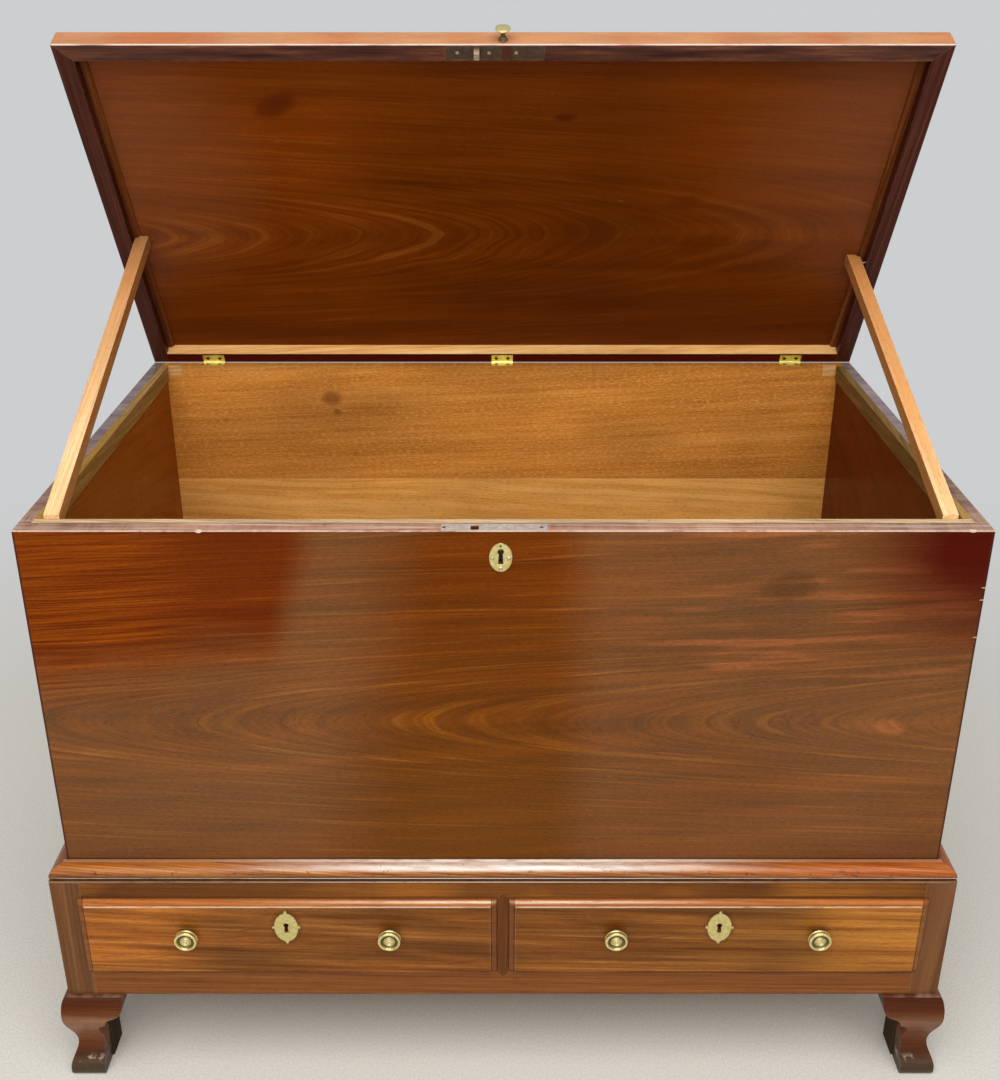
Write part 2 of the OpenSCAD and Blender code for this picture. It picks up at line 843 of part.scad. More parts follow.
module foot_corner(x_way, y_way) {
  y = y_way > 0 ? stand_front : stand_back_y;
  from_front() translate([x_way * stand_half, y, 0])
    mirror([x_way > 0 ? 1 : 0, 0, 0]) mirror([0, y_way > 0 ? 0 : 1, 0]) children();
}

module foot_front_left() {
  color(mahogany) foot_corner(-1, 1) front_foot();
}

module foot_front_right() {
  color(mahogany) foot_corner(1, 1) front_foot();
}

// A rear foot: the ogee bracket along the side, and a plain board behind it
module rear_foot() {
  intersection() {
    mirror([1, -1, 0]) face_bracket(0);
    block([-foot_swell - 5, 0, 0], [foot_t + 1, foot_w + 5, foot_h]);
  }
  translate([0, foot_t * 0.75, 0]) rotate([90, 0, 0]) linear_extrude(foot_t * 0.75)
    polygon([[foot_t, 0], [foot_pad_w, 0], [foot_pad_w + 2, waist_z], [foot_w, swell_z + 8], [foot_w, foot_h], [foot_t, foot_h]]);
}

module foot_rear_left() {
  color(dark_mahogany) foot_corner(-1, -1) rear_foot();
}

module foot_rear_right() {
  color(dark_mahogany) foot_corner(1, -1) rear_foot();
}

module foot_blocks() {
  color(oak) {
    for (x = [-1, 1]) {
      foot_corner(x, 1) block([foot_t, foot_t, foot_block_lift], [foot_t + foot_block, foot_t + foot_block_deep, foot_h]);
      foot_corner(x, -1)
        block([foot_t, foot_t * 0.75, foot_block_lift], [foot_t + foot_block, foot_t * 0.75 + foot_block_deep, foot_h]);
    }
  }
}

// The lid shut: its panel with the upper edges rounded at the front and sides
module lid_front_profile() {
  translate([0, panel_under]) square([chest_d, lid_t - lid_recess - lid_edge_r]);
  translate([lid_edge_r, panel_under]) square([chest_d - lid_edge_r, lid_t - lid_recess]);
  translate([lid_edge_r, lid_top - lid_edge_r]) circle(r = lid_edge_r);
}

module lid_side_profile() {
  translate([-half_w, panel_under]) square([chest_w, lid_t - lid_recess - lid_edge_r]);
  translate([-half_w + lid_edge_r, panel_under]) square([chest_w - 2 * lid_edge_r, lid_t - lid_recess]);
  for (s = [-1, 1]) translate([s * (half_w - lid_edge_r), lid_top - lid_edge_r]) circle(r = lid_edge_r);
}

module lid_panel() {
  color(mahogany) on_open_lid() intersection() {
    along_width(-half_w, half_w) lid_front_profile();
    along_depth(0, chest_d) lid_side_profile();
  }
}

module link_plate_shape() {
  y0 = (lid_rail_w - link_plate_w) / 2;
  block([-lock_left, y0, lid_under], [link_right, y0 + link_plate_w, lid_under + lock_plate_t]);
}

module link_screw_places() {
  for (x = [-lock_left + 17, -staple_x + 18, 19])
    translate([x, lid_rail_w / 2, lid_under]) mirror([0, 0, 1]) children();
}

module lid_front_rail() {
  color(dark_mahogany) on_open_lid() difference() {
    translate([0, 0, lid_under]) linear_extrude(lid_recess)
      polygon([[-half_w, 0], [half_w, 0], [half_w - lid_rail_w, lid_rail_w], [-half_w + lid_rail_w, lid_rail_w]]);
    link_plate_shape();
    link_screw_places() wood_screw(2.6, 16, 0);
    staple_shank();
    lid_knob_shank();
  }
}

module lid_side_rail() {
  difference() {
    translate([0, 0, lid_under]) linear_extrude(lid_recess)
      polygon([[half_w, 0], [half_w, chest_d], [half_w - lid_rail_w, chest_d], [half_w - lid_rail_w, lid_rail_w]]);
    children();
  }
}

module lid_side_rail_left() {
  color(dark_mahogany) on_open_lid() mirror([1, 0, 0]) lid_side_rail() stay_screw_way(stay_seat_left);
}

module lid_side_rail_right() {
  color(dark_mahogany) on_open_lid() lid_side_rail() stay_screw_way(stay_seat_right);
}

module lid_rear_rail() {
  color(pale_wood) on_open_lid() difference() {
    block([-half_w + lid_rail_w, chest_d - lid_rear_w, lid_under], [half_w - lid_rail_w, chest_d, panel_under]);
    leaf_beds(lid_under - 1, lid_under + leaf_t);
    knuckle_beds();
    hinge_screws(lid_under, 1, 0);
  }
}

module lid_slips() {
  x1 = half_w - lid_rail_w;
  color(mahogany) on_open_lid() both_sides() along_depth(lid_rail_w, chest_d - lid_rear_w)
    polygon([[x1, panel_under], [x1 - slip_w, panel_under], [x1 - slip_w, panel_under - slip_h * 0.4],
             [x1 - slip_w * 0.6, panel_under - slip_h], [x1, panel_under - slip_h]]);
}

// Outline of a turned piece: x is the radius, y the distance out from the wood
module lid_knob_turning() {
  r = lid_knob_r;
  h = lid_knob_out;
  rotate_extrude() {
    polygon([[0, -14], [2, -14], [2, 0], [r * 0.6, 0], [r * 0.6, h * 0.06], [r * 0.48, h * 0.12],
             [r * 0.5, h * 0.18], [r * 0.32, h * 0.28], [r * 0.27, h * 0.5], [r * 0.32, h * 0.66], [r * 0.55, h * 0.75],
             [r * 0.94, h * 0.82], [r, h * 0.87], [r * 0.96, h * 0.92], [r * 0.7, h * 0.97], [r * 0.35, h], [0, h]]);
  }
}

module lid_knob_place() {
  translate([0, 0, lid_under + lid_knob_up]) rotate([90, 0, 0]) children();
}

module lid_knob_shank() {
  lid_knob_place() translate([0, 0, -14]) cylinder(r = 2, h = 14);
}

module lid_knob() {
  color(brass) on_open_lid() lid_knob_place() lid_knob_turning();
}

module lock_link_plate() {
  color(steel) on_open_lid() difference() {
    link_plate_shape();
    link_screw_places() wood_screw(2.6, 16, 0);
    staple_shank();
  }
}

// The part of the staple that is riveted through the link plate
module staple_shank() {
  block([-staple_x - staple_w / 2, front_rim / 2 - 3, lid_under],
        [-staple_x + staple_w / 2, front_rim / 2 + 3, lid_under + 5]);
}

module lock_staple() {
  color(steel) on_open_lid() {
    staple_shank();
    difference() {
      staple_way(0);
      block([-staple_x - staple_w, front_rim / 2 - staple_d / 2 + 2.8, lid_under - staple_len + 3],
            [-staple_x + staple_w, front_rim / 2 + staple_d / 2 - 2.8, lid_under - 3]);
    }
  }
}

module lid_screws() {
  color(steel) on_open_lid() {
    hinge_screws(lid_under, 1, 0);
    link_screw_places() wood_screw(2.6, 16, 0);
    stay_screws();
  }
}

// Where a stay's seat lies on the shut lid: distance from the front face, and height
function on_lid(y, z) = let(dy = y - hinge_y, dz = z - hinge_z)
  [hinge_y + dy * cos(lid_open) + dz * sin(lid_open), hinge_z - dy * sin(lid_open) + dz * cos(lid_open)];
foot_point = [front_rim + batten_t + part_gap, rim_z - stay_foot_drop];
function pivot_shut(seat) = [chest_d - seat, panel_under - stay_pivot_in];
function pivot_open(seat) = let(p = pivot_shut(seat)) on_lid(p[0], p[1]);
function stay_angle(seat) = let(p = pivot_open(seat)) atan2(p[1] - foot_point[1], p[0] - foot_point[0]);
function stay_reach(seat) = norm(pivot_open(seat) - foot_point);

// The hole for a stay's pivot screw in the right side rail
module stay_screw_way(seat) {
  p = pivot_shut(seat);
  translate([half_w - 12, p[0], p[1]]) rotate([0, -90, 0]) cylinder(r = stay_screw_r, h = lid_rail_w);
}

module stay_screws() {
  for (pair = [seat_left_pair, seat_right_pair]) {
    s = pair[1];
    p = pivot_shut(pair[0]);
    translate([s * (stay_out(s) - stay_w), p[0], p[1]]) rotate([0, s * 90, 0]) {
      cylinder(r = stay_screw_r, h = half_w - 12 - stay_out(s) + stay_w);
      cylinder(r = stay_head_r, h = 2.5);
    }
  }
}

// The sloping corner taken off the outer side of a stay's upper end, so that it passes the lid's slip
module stay_corner_cut(w) {
  translate([0, 0, -stay_w]) linear_extrude(2 * stay_w)
    polygon([[-w, stay_w], [-w, 8], [-w + 5, 3.5], [1, 3.5], [1, stay_w]]);
}

// A stay drawn along +Y from its pivot down to its foot, then turned to its angle
module stay(seat, s) {
  p = pivot_open(seat);
  angle = stay_angle(seat);
  reach = stay_reach(seat);
  round_r = stay_pivot_in - part_gap;
  x0 = min(s * stay_out(s), s * (stay_out(s) - stay_w));
  difference() {
    along_width(x0, x0 + stay_w) difference() {
      translate(p) rotate(angle) union() {
        translate([-reach - stay_w, -stay_w / 2]) square([reach + stay_w, stay_w]);
        intersection() {
          circle(r = round_r);
          translate([-round_r, -stay_w / 2]) square([2 * round_r, stay_w]);
        }
      }
      translate([foot_point[0] - 3 * stay_w, foot_point[1] - 3 * stay_w]) square([3 * stay_w, 6 * stay_w]);
    }
    mirror([s < 0 ? 1 : 0, 0, 0]) translate([stay_out(s), p[0], p[1]]) rotate([angle, 0, 0])
      stay_corner_cut(max(stay_corner, stay_out(s) - half_w + lid_rail_w + slip_w + part_gap));
    translate([s * (stay_out(s) - stay_w), p[0], p[1]]) rotate([0, s * 90, 0]) {
      translate([0, 0, -1]) cylinder(r = stay_screw_r + running_fit, h = stay_w + 2);
      translate([0, 0, -1]) cylinder(r = stay_head_r + running_fit, h = 3.5 + running_fit);
    }
  }
}

module stay_left() {
  color(pale_wood) from_front() stay(stay_seat_left, -1);
}

module stay_right() {
  color(pale_wood) from_front() stay(stay_seat_right, 1);
}

// Section of a drawer's lip: x is the distance in from the lip's outer edge, y the distance out from the frame
module lip_section(width) {
  round_d = lip_t - 1.5;
  polygon(concat([[0, 0], [0, 1]],
    [for (a = [0 : 10 : 90]) [thumb_h * 0.7 * (1 - cos(a)), 1 + (round_d - 1) * sin(a)]],
    [[thumb_h, round_d], [thumb_h, lip_t], [width, lip_t], [width, 0]]));
}

// One drawer's front about x = 0
module drawer_front_shape() {
  lip_h = lip_top - drawer_z;
  intersection() {
    for (s = [0, 1]) mirror([s, 0, 0]) translate([-lip_half, stand_front, drawer_z])
      linear_extrude(lip_h) mirror([0, 1]) lip_section(lip_half);
    translate([-lip_half, 0, 0]) rotate([90, 0, 90]) linear_extrude(2 * lip_half)
      translate([stand_front, lip_top]) rotate(-90) mirror([0, 1]) lip_section(lip_h);
  }
  block([-drawer_half, stand_front, drawer_z], [drawer_half, drawer_body_y, drawer_z + drawer_h]);
}

module drawer_side_outline() {
  translate([drawer_body_y, drawer_z]) square([drawer_len - drawer_body_y - drawer_side_t, drawer_h]);
  drawer_front_tails();
  drawer_back_tails();
}

module drawer_front_tails() {
  tails(drawer_z, drawer_z + drawer_h, drawer_tails, drawer_body_y, stand_front + 1);
}

bottom_top = drawer_z + drawer_groove_z + drawer_bottom_t;
module drawer_back_tails() {
  tails(bottom_top, drawer_z + drawer_h - 6, drawer_tails, drawer_len - drawer_side_t, drawer_len);
}

module drawer_bottom_shape() {
  groove = drawer_side_t / 2;
  block([-(drawer_half - groove), drawer_body_y - groove, bottom_top - drawer_bottom_t],
        [drawer_half - groove, drawer_len, bottom_top]);
}

module drawer_keyhole(s) {
  along_depth(drawer_face_y - plate_t - 1, drawer_body_y + 1)
    translate([s * drawer_plate_x, drawer_z + drawer_plate_z + 4]) keyhole(7.8, 14);
}

module drawer_lock_shape(s) {
  half = 32;
  translate([s * drawer_plate_x, 0, 0]) block([-half, drawer_body_y - 9, drawer_z + drawer_h - 58], [half, drawer_body_y + 1.5, drawer_z + drawer_h]);
}

// The mortise in the rail above for a drawer's bolt
module lock_bolt_room() {
  block([-9, stand_front + 6, opening_hi - 1], [9, stand_front + 13, opening_hi + 9]);
}

module knob_places() {
  for (x = [-knob_x, knob_x])
    translate([x, drawer_face_y, drawer_z + knob_z]) rotate([90, 0, 0]) children();
}

// A turned brass knob: a dished face with a raised boss and a roped rim, on a collar, with its threaded stem
module drawer_knob() {
  r = knob_r;
  h = knob_out;
  rotate_extrude() polygon([
    [0, -drawer_front_t - 4], [2.2, -drawer_front_t - 4], [2.2, 0], [r * 0.6, 0], [r * 0.6, h * 0.1],
    [r * 0.42, h * 0.17], [r * 0.42, h * 0.34], [r * 0.82, h * 0.41], [r * 0.95, h * 0.46], [r * 0.99, h * 0.52],
    [r * 0.99, h * 0.6], [r * 0.94, h * 0.64], [r * 0.94, h * 0.7], [r * 0.99, h * 0.76], [r, h * 0.86],
    [r * 0.97, h * 0.94], [r * 0.9, h * 0.99], [r * 0.84, h], [r * 0.78, h * 0.97], [r * 0.74, h * 0.86],
    [r * 0.68, h * 0.8], [r * 0.54, h * 0.79], [r * 0.5, h * 0.88], [r * 0.44, h * 0.91], [r * 0.38, h * 0.87],
    [r * 0.33, h * 0.92], [r * 0.24, h * 0.95], [r * 0.18, h * 0.91], [r * 0.1, h * 0.96], [0, h * 0.97]]);
  translate([0, 0, -drawer_front_t - 3.5]) difference() {
    cylinder(r = 6.5, h = 3.5, $fn = 6);
    translate([0, 0, -1]) cylinder(r = 2.2, h = 6);
  }
}

module drawer_plate_outline() {
  w = drawer_plate_w;
  h = drawer_plate_h;
  ellipse(w, h);
  for (up = [-1, 1]) polygon([[-w * 0.26, up * h * 0.426], [0, up * (h / 2 + 2)], [w * 0.26, up * h * 0.426]]);
  for (p = [[0, h / 2 + 2], [0, -h / 2 - 2], [w / 2 + 1.2, 0], [-w / 2 - 1.2, 0]])
    translate(p) circle(r = 2.4);
}

module drawer_front(s) {
  color(golden_mahogany) from_front() translate([s * drawer_mid, 0, 0]) difference() {
    drawer_front_shape();
    both_sides() along_width(drawer_half - drawer_side_t, drawer_half + 1) drawer_front_tails();
    drawer_bottom_shape();
    drawer_lock_shape(s);
    drawer_keyhole(s);
    knob_places() translate([0, 0, -drawer_front_t - 1]) cylinder(r = 2.2, h = drawer_front_t + 2);
  }
}

module drawer_sides(s) {
  color(oak) from_front() translate([s * drawer_mid, 0, 0]) difference() {
    both_sides() along_width(drawer_half - drawer_side_t, drawer_half) drawer_side_outline();
    drawer_bottom_shape();
  }
}

module drawer_back(s) {
  color(oak) from_front() translate([s * drawer_mid, 0, 0]) difference() {
    block([-drawer_half, drawer_len - drawer_side_t, bottom_top], [drawer_half, drawer_len, drawer_z + drawer_h - 6]);
    both_sides() along_width(drawer_half - drawer_side_t, drawer_half + 1) drawer_back_tails();
  }
}

module drawer_bottom(s) {
  color(oak) from_front() translate([s * drawer_mid, 0, 0]) drawer_bottom_shape();
}

module drawer_knobs(s) {
  color(brass) from_front() translate([s * drawer_mid, 0, 0]) knob_places() drawer_knob();
}

module drawer_escutcheon(s) {
  color(brass) from_front() translate([s * drawer_mid, 0, 0]) difference() {
    along_depth(drawer_face_y - plate_t, drawer_face_y)
      translate([s * drawer_plate_x, drawer_z + drawer_plate_z]) drawer_plate_outline();
    drawer_keyhole(s);
  }
}

module drawer_lock(s) {
  color(steel) from_front() translate([s * drawer_mid, 0, 0]) difference() {
    drawer_lock_shape(s);
    drawer_keyhole(s);
  }
}

module drawer_left_front() { drawer_front(-1); }
module drawer_left_sides() { drawer_sides(-1); }
module drawer_left_back() { drawer_back(-1); }
module drawer_left_bottom() { drawer_bottom(-1); }
module drawer_left_knobs() { drawer_knobs(-1); }
module drawer_left_escutcheon() { drawer_escutcheon(-1); }
module drawer_left_lock() { drawer_lock(-1); }
module drawer_right_front() { drawer_front(1); }
module drawer_right_sides() { drawer_sides(1); }
module drawer_right_back() { drawer_back(1); }
module drawer_right_bottom() { drawer_bottom(1); }
module drawer_right_knobs() { drawer_knobs(1); }
module drawer_right_escutcheon() { drawer_escutcheon(1); }
module drawer_right_lock() { drawer_lock(1); }

front_board();
side_board_left();
side_board_right();
back_board_upper();
back_board_lower();
back_corner_patches();
chest_bottom();
side_battens();
front_batten();
lock_case();
lock_selvedge();
chest_escutcheon();
chest_screws();
hinge_chest_leaves();
hinge_pins();
waist_moulding_front();
waist_moulding_sides();
stand_top_rail();
stand_bottom_rail();
stand_posts();
centre_divider();
stand_side_left();
stand_side_right();
stand_back();
drawer_runners();
drawer_guides();
drawer_kickers();
foot_front_left();
foot_front_right();
foot_rear_left();
foot_rear_right();
foot_blocks();
lid_panel();
lid_front_rail();
lid_side_rail_left();
lid_side_rail_right();
lid_rear_rail();
lid_slips();
lid_knob();
lock_link_plate();
lock_staple();
hinge_lid_leaves();
lid_screws();
stay_left();
stay_right();
drawer_left_front();
drawer_left_sides();
drawer_left_back();
drawer_left_bottom();
drawer_left_knobs();
drawer_left_escutcheon();
drawer_left_lock();
drawer_right_front();
drawer_right_sides();
drawer_right_back();
drawer_right_bottom();
drawer_right_knobs();
drawer_right_escutcheon();
drawer_right_lock();
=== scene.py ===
import math

import bpy
from mathutils import Matrix, Vector


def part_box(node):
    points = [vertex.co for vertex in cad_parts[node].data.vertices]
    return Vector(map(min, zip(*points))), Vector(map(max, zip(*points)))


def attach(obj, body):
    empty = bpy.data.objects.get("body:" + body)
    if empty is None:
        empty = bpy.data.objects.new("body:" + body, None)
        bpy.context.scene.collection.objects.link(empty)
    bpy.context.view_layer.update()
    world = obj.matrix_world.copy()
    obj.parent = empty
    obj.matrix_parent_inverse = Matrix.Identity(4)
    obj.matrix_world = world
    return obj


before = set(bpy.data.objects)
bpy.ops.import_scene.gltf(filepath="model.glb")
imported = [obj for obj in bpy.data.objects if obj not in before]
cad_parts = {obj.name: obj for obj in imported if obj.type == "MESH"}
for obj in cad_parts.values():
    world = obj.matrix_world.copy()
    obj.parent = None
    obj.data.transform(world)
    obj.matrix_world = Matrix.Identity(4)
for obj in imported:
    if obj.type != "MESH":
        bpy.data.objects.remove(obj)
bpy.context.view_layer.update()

# Feet. Four ogee bracket feet, sawn and carved from thick mahogany and mitred at the corner, each with a
# rough block glued inside. A wing is glued on at each side of the leg. Their colour carries painted light:
# highlights on the flat tops, toes and swells, shade on the shoulders. Their pads are scuffed and greyed by the
# floor.


def srgb(red, green, blue):
    """A colour as a screen shows it, 0 to 255, as the linear colour that a shader takes."""
    def linear(part):
        part = part / 255
        return part / 12.92 if part <= 0.04045 else ((part + 0.055) / 1.055) ** 2.4
    return (linear(red), linear(green), linear(blue), 1)


def opened(node_tree):
    """Makes this the tree that nodes are added to."""
    global tree
    tree = node_tree
    return tree


def fill(node, inputs):
    """Sets a node's inputs, by name or by place, to numbers or colours, or links other nodes' sockets to them."""
    for name, value in inputs.items():
        if isinstance(value, bpy.types.NodeSocket):
            tree.links.new(value, node.inputs[name])
        else:
            node.inputs[name].default_value = value


def put(kind, inputs=None, **settings):
    made = tree.nodes.new(kind)
    for name, value in settings.items():
        setattr(made, name, value)
    fill(made, inputs or {})
    return made


def calc(operation, *values):
    return put("ShaderNodeMath", dict(enumerate(values)), operation=operation).outputs[0]


def plus(first, second):
    return calc("ADD", first, second)


def minus(first, second):
    return calc("SUBTRACT", first, second)


def most(first, second):
    return calc("MAXIMUM", first, second)


def absolute(value):
    return calc("ABSOLUTE", value)


def times(first, *others):
    for value in others:
        first = calc("MULTIPLY", first, value)
    return first


def span(value, low, high, out_low=0, out_high=1, **settings):
    """Maps a value from one range to another, held inside it."""
    return put("ShaderNodeMapRange", {0: value, 1: low, 2: high, 3: out_low, 4: out_high}, **settings).outputs[0]


def smooth(value, low, high):
    """0 at the low value and 1 at the high one, with a soft start and end."""
    return span(value, low, high, interpolation_type="SMOOTHSTEP")


def between(value, low, high, soft):
    """1 between two values and 0 outside them, with soft ends."""
    return times(smooth(value, low - soft, low + soft), smooth(value, high + soft, high - soft))


def mix(amount, first, second, mode="MIX"):
    """Mixes two colours, each a socket or three numbers as a screen shows them."""
    first, second = (srgb(*c) if isinstance(c, tuple) else c for c in (first, second))
    made = put("ShaderNodeMix", {0: amount, 6: first, 7: second}, data_type="RGBA", blend_type=mode)
    return made.outputs[2]


def laid(colour, other, *amounts):
    """The colour with another laid over it, by the product of the amounts."""
    return mix(times(*amounts), colour, other)


def ramp(value, stops):
    """A colour ramp over stops of (place, red, green, blue)."""
    made = put("ShaderNodeValToRGB", {0: value})
    band = made.color_ramp
    while len(band.elements) < len(stops):
        band.elements.new(0.5)
    for element, (place, *colour) in zip(band.elements, stops):
        element.position = place
        element.color = srgb(*colour)
    return made.outputs[0]


def split(vector):
    return put("ShaderNodeSeparateXYZ", {0: vector}).outputs[:3]


def joined(x, y, z=0):
    return put("ShaderNodeCombineXYZ", {0: x, 1: y, 2: z}).outputs[0]


def here():
    return put("ShaderNodeTexCoord").outputs["Object"]


def dimmed(colour, value, low, high, out_low, out_high):
    """The colour multiplied by a grey factor that follows a value."""
    factor = span(value, low, high, out_low, out_high)
    return mix(1, colour, joined(factor, factor, factor), "MULTIPLY")


def shaded(colour, mask, factor):
    """The colour multiplied by a grey factor where the mask is 1."""
    return dimmed(colour, mask, 0, 1, 1, factor)


def noise(vector, scale=1, detail=3, roughness=0.55):
    """Noise with one scale, or with three along x, y and z."""
    if isinstance(scale, tuple):
        vector = put("ShaderNodeVectorMath", {0: vector, 1: scale}, operation="MULTIPLY").outputs[0]
        scale = 1
    inputs = {"Vector": vector, "Scale": scale, "Detail": detail, "Roughness": roughness}
    return put("ShaderNodeTexNoise", inputs).outputs[0]


def grained(along, along_scale, across, across_scale, seed=0, detail=3, roughness=0.55):
    """Noise in streaks over a plane."""
    return noise(joined(times(along, along_scale), times(across, across_scale), seed), 1, detail, roughness)


def new_sockets(group, in_out, wanted):
    """Adds sockets with their values. One whose value is a socket type's name has none. Returns their identifiers."""
    identifiers = {}
    for name, value in wanted.items():
        kind = {int: "Float", float: "Float", tuple: "Vector"}.get(type(value), value)
        socket = group.interface.new_socket(name, in_out=in_out, socket_type=f"NodeSocket{kind}")
        if kind != value:
            socket.default_value = value
        identifiers[name] = socket.identifier
    return identifiers


def new_group(name, inputs, outputs):
    """Opens a shader node group with named sockets. Returns its tree and its inputs by name."""
    group = opened(bpy.data.node_groups.new(name, "ShaderNodeTree"))
    new_sockets(group, "INPUT", inputs)
    new_sockets(group, "OUTPUT", outputs)
    return group, put("NodeGroupInput").outputs


def use(group, inputs):
    return put("ShaderNodeGroup", inputs, node_tree=group).outputs


# The growth rings of a tree cut by a flat board: x runs along the grain, y across the face, z into the board.
# The rings are shells round the heart, which lies below the face and climbs slowly along it, so that they
# run straight far from the heart and turn in arches over it, which are the slimmer the more they are narrowed.
board_figure, given = new_group(
    "Sawn board", {"Vector": "Vector", "Heart": 0, "Depth": 0.2, "Rise": 0.1, "Ring": 0.006, "Narrow": 1,
                   "Wave": 0.012, "Fade": 0, "Seed": 0},
    {"Rings": 0, "Lines": 0, "Fibre": 0, "Pores": 0, "Mottle": 0})
seed = given["Seed"]
along, across, deep = split(given["Vector"])
drift = times(minus(grained(along, 2, across, 9, seed, 3, 0.45), 0.5), given["Wave"])
side = plus(minus(across, given["Heart"]), drift)
heart_depth = plus(minus(given["Depth"], times(along, given["Rise"])), deep)
radius = calc("SQRT", plus(times(side, side, given["Narrow"]), times(heart_depth, heart_depth)))
radius = plus(radius, times(drift, 0.6))
ring_place = calc("DIVIDE", radius, given["Ring"])
rings = noise(joined(ring_place, times(along, 1.4), seed), 1, 3, 0.62)
# Away from the heart the rings crowd together and show less
flatness = calc("DIVIDE", times(side, side, given["Narrow"]), times(radius, radius))
shown = minus(1, times(flatness, given["Fade"]))
lines = grained(ring_place, 0.62, along, 2.6, plus(seed, 9), 2)
fill(put("NodeGroupOutput"), {
    "Rings": plus(times(minus(span(rings, 0.3, 0.7), 0.5), shown), 0.5),
    "Lines": times(smooth(lines, 0.57, 0.7), shown),
    "Fibre": span(grained(along, 9, radius, 520, seed, 3, 0.62), 0.34, 0.66),
    "Pores": span(grained(along, 70, radius, 1300, seed, 1), 0.6, 0.72),
    "Mottle": grained(along, 3.5, across, 9, seed)})

# The rounded edges of a sawn board, as a mask, and the surface's normal rounded over them. Where pale colour
# is laid over this mask, it is edge wear with a painted highlight
rounded_edge, given = new_group("Rounded edge", {"Size": 0.0012}, {"Mask": 0, "Normal": "Vector"})
round_normal = put("ShaderNodeBevel", {"Radius": given["Size"]}, samples=4).outputs[0]
flat_normal = put("ShaderNodeNewGeometry").outputs["Normal"]
closeness = put("ShaderNodeVectorMath", {0: round_normal, 1: flat_normal}, operation="DOT_PRODUCT").outputs["Value"]
fill(put("NodeGroupOutput"), {"Mask": span(closeness, 0.995, 0.85), "Normal": round_normal})

# Old polish on wood: a cloudy haze, small dark pits and dents, and fine scratches in patches
old_polish, given = new_group("Old polish", {"Vector": "Vector"}, {"Haze": 0, "Pits": 0, "Scratches": 0})
place = given["Vector"]
line = smooth(absolute(minus(noise(place, (5, 60, 60), 1), 0.5)), 0.004, 0.0005)
fill(put("NodeGroupOutput"), {
    "Haze": span(noise(place, 5, 4, 0.6), 0.3, 0.7),
    "Pits": span(noise(place, 230, 1), 0.735, 0.79),
    "Scratches": times(line, smooth(noise(place, 7, 2), 0.52, 0.68))})


def board_space(grain, turn=0, about=(0, 0, 0)):
    """Object coordinates turned so that x runs along the grain and y across the face. The grain gives both
    directions, as two axes' letters or two vectors. A board drawn tilted is turned back by the given angle
    about X, about a point, first."""
    axes = {"x": (1, 0, 0), "y": (0, 1, 0), "z": (0, 0, 1)}
    u, v = (Vector(axes.get(direction, direction)).normalized() for direction in grain)
    rows = Matrix((u, v, u.cross(v))) @ Matrix.Rotation(math.radians(turn), 3, "X")
    shift = -(rows @ Vector(about))
    inputs = {"Vector": here(), "Location": shift, "Rotation": rows.to_euler("XYZ")}
    return put("ShaderNodeMapping", inputs).outputs[0]


def added(name, data):
    """A new object with the data, in the scene."""
    made = bpy.data.objects.new(name, data)
    bpy.context.scene.collection.objects.link(made)
    return made


def new_material(name):
    """Opens a new material. Returns it and its Principled BSDF."""
    made = bpy.data.materials.new(name)
    made.use_nodes = True
    return made, opened(made.node_tree).nodes["Principled BSDF"]


def finish(material, names):
    """Gives the material to CAD nodes."""
    for name in names.split():
        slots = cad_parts[name].data.materials
        slots.clear()
        slots.append(material)


def polished(name, nodes, grain, stops, heart=0.9, depth=0.1, rise=0.1, ring=0.004, narrow=1, wave=0.012, seed=0,
             turn=0, about=(0, 0, 0), roughness=0.3, edge=(196, 150, 118), edge_size=0.0012, edge_wear_and_sheen=0.55,
             specular=0.1, coat=0.04, pit=(34, 14, 6), scratch=0.12, bold=0.58, pores=0.4, lines=0, fade=0,
             tint=None):
    """Polished wood: ring bands through a colour ramp, fine fibres, pale lines and pores over them, pits, scratches
    and rubbed edges that carry a painted highlight too. A tint changes the colour by place: it gets the board's
    coordinates, the bands of the grain and the colour so far."""
    made, shader = new_material(name)
    place = board_space(grain, turn, about)
    figure = use(board_figure, {"Vector": place, "Heart": heart, "Depth": depth, "Rise": rise, "Ring": ring,
                                "Narrow": narrow, "Wave": wave, "Fade": fade, "Seed": seed})
    bands = plus(times(figure["Rings"], bold), times(figure["Fibre"], 1 - bold))
    colour = ramp(bands, stops)
    if lines:
        colour = laid(colour, stops[-1][1:], figure["Lines"], lines)
    colour = dimmed(colour, figure["Mottle"], 0.25, 0.75, 0.86, 1.14)
    if tint is not None:
        colour = tint(place, bands, colour)
    polish = use(old_polish, {"Vector": place})
    colour = laid(colour, pit, figure["Pores"], pores)
    colour = laid(colour, pit, polish["Pits"], 0.55)
    colour = laid(colour, edge, polish["Scratches"], scratch)
    # The pale colour on the rounded edges is edge wear and a painted highlight
    edge_rub_and_sheen = use(rounded_edge, {"Size": edge_size})
    patchy = span(noise(place, 55), 0.36, 0.56)
    colour = laid(colour, edge, edge_rub_and_sheen["Mask"], patchy, edge_wear_and_sheen)
    gloss = plus(roughness, times(minus(polish["Haze"], 0.5), 0.14))
    height = minus(times(figure["Fibre"], 0.5), plus(figure["Pores"], polish["Pits"]))
    bump = put("ShaderNodeBump", {"Strength": 0.3, "Distance": 0.0003, "Height": height, "Normal": edge_rub_and_sheen["Normal"]})
    fill(shader, {"Base Color": colour, "Roughness": plus(gloss, times(figure["Pores"], 0.15)),
                  "Normal": bump.outputs[0], "Specular IOR Level": specular, "Coat Weight": coat,
                  "Coat Roughness": 0.1})
    finish(made, nodes)


def bare(specular, roughness):
    """Wood that has lost its polish, or never had one."""
    return {"coat": 0, "specular": specular, "roughness": roughness}


foot_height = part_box("foot_front_left")[1][2]
(_, frame_front, _), (frame_half, _, _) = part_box("stand_posts")
leg_width = 0.041


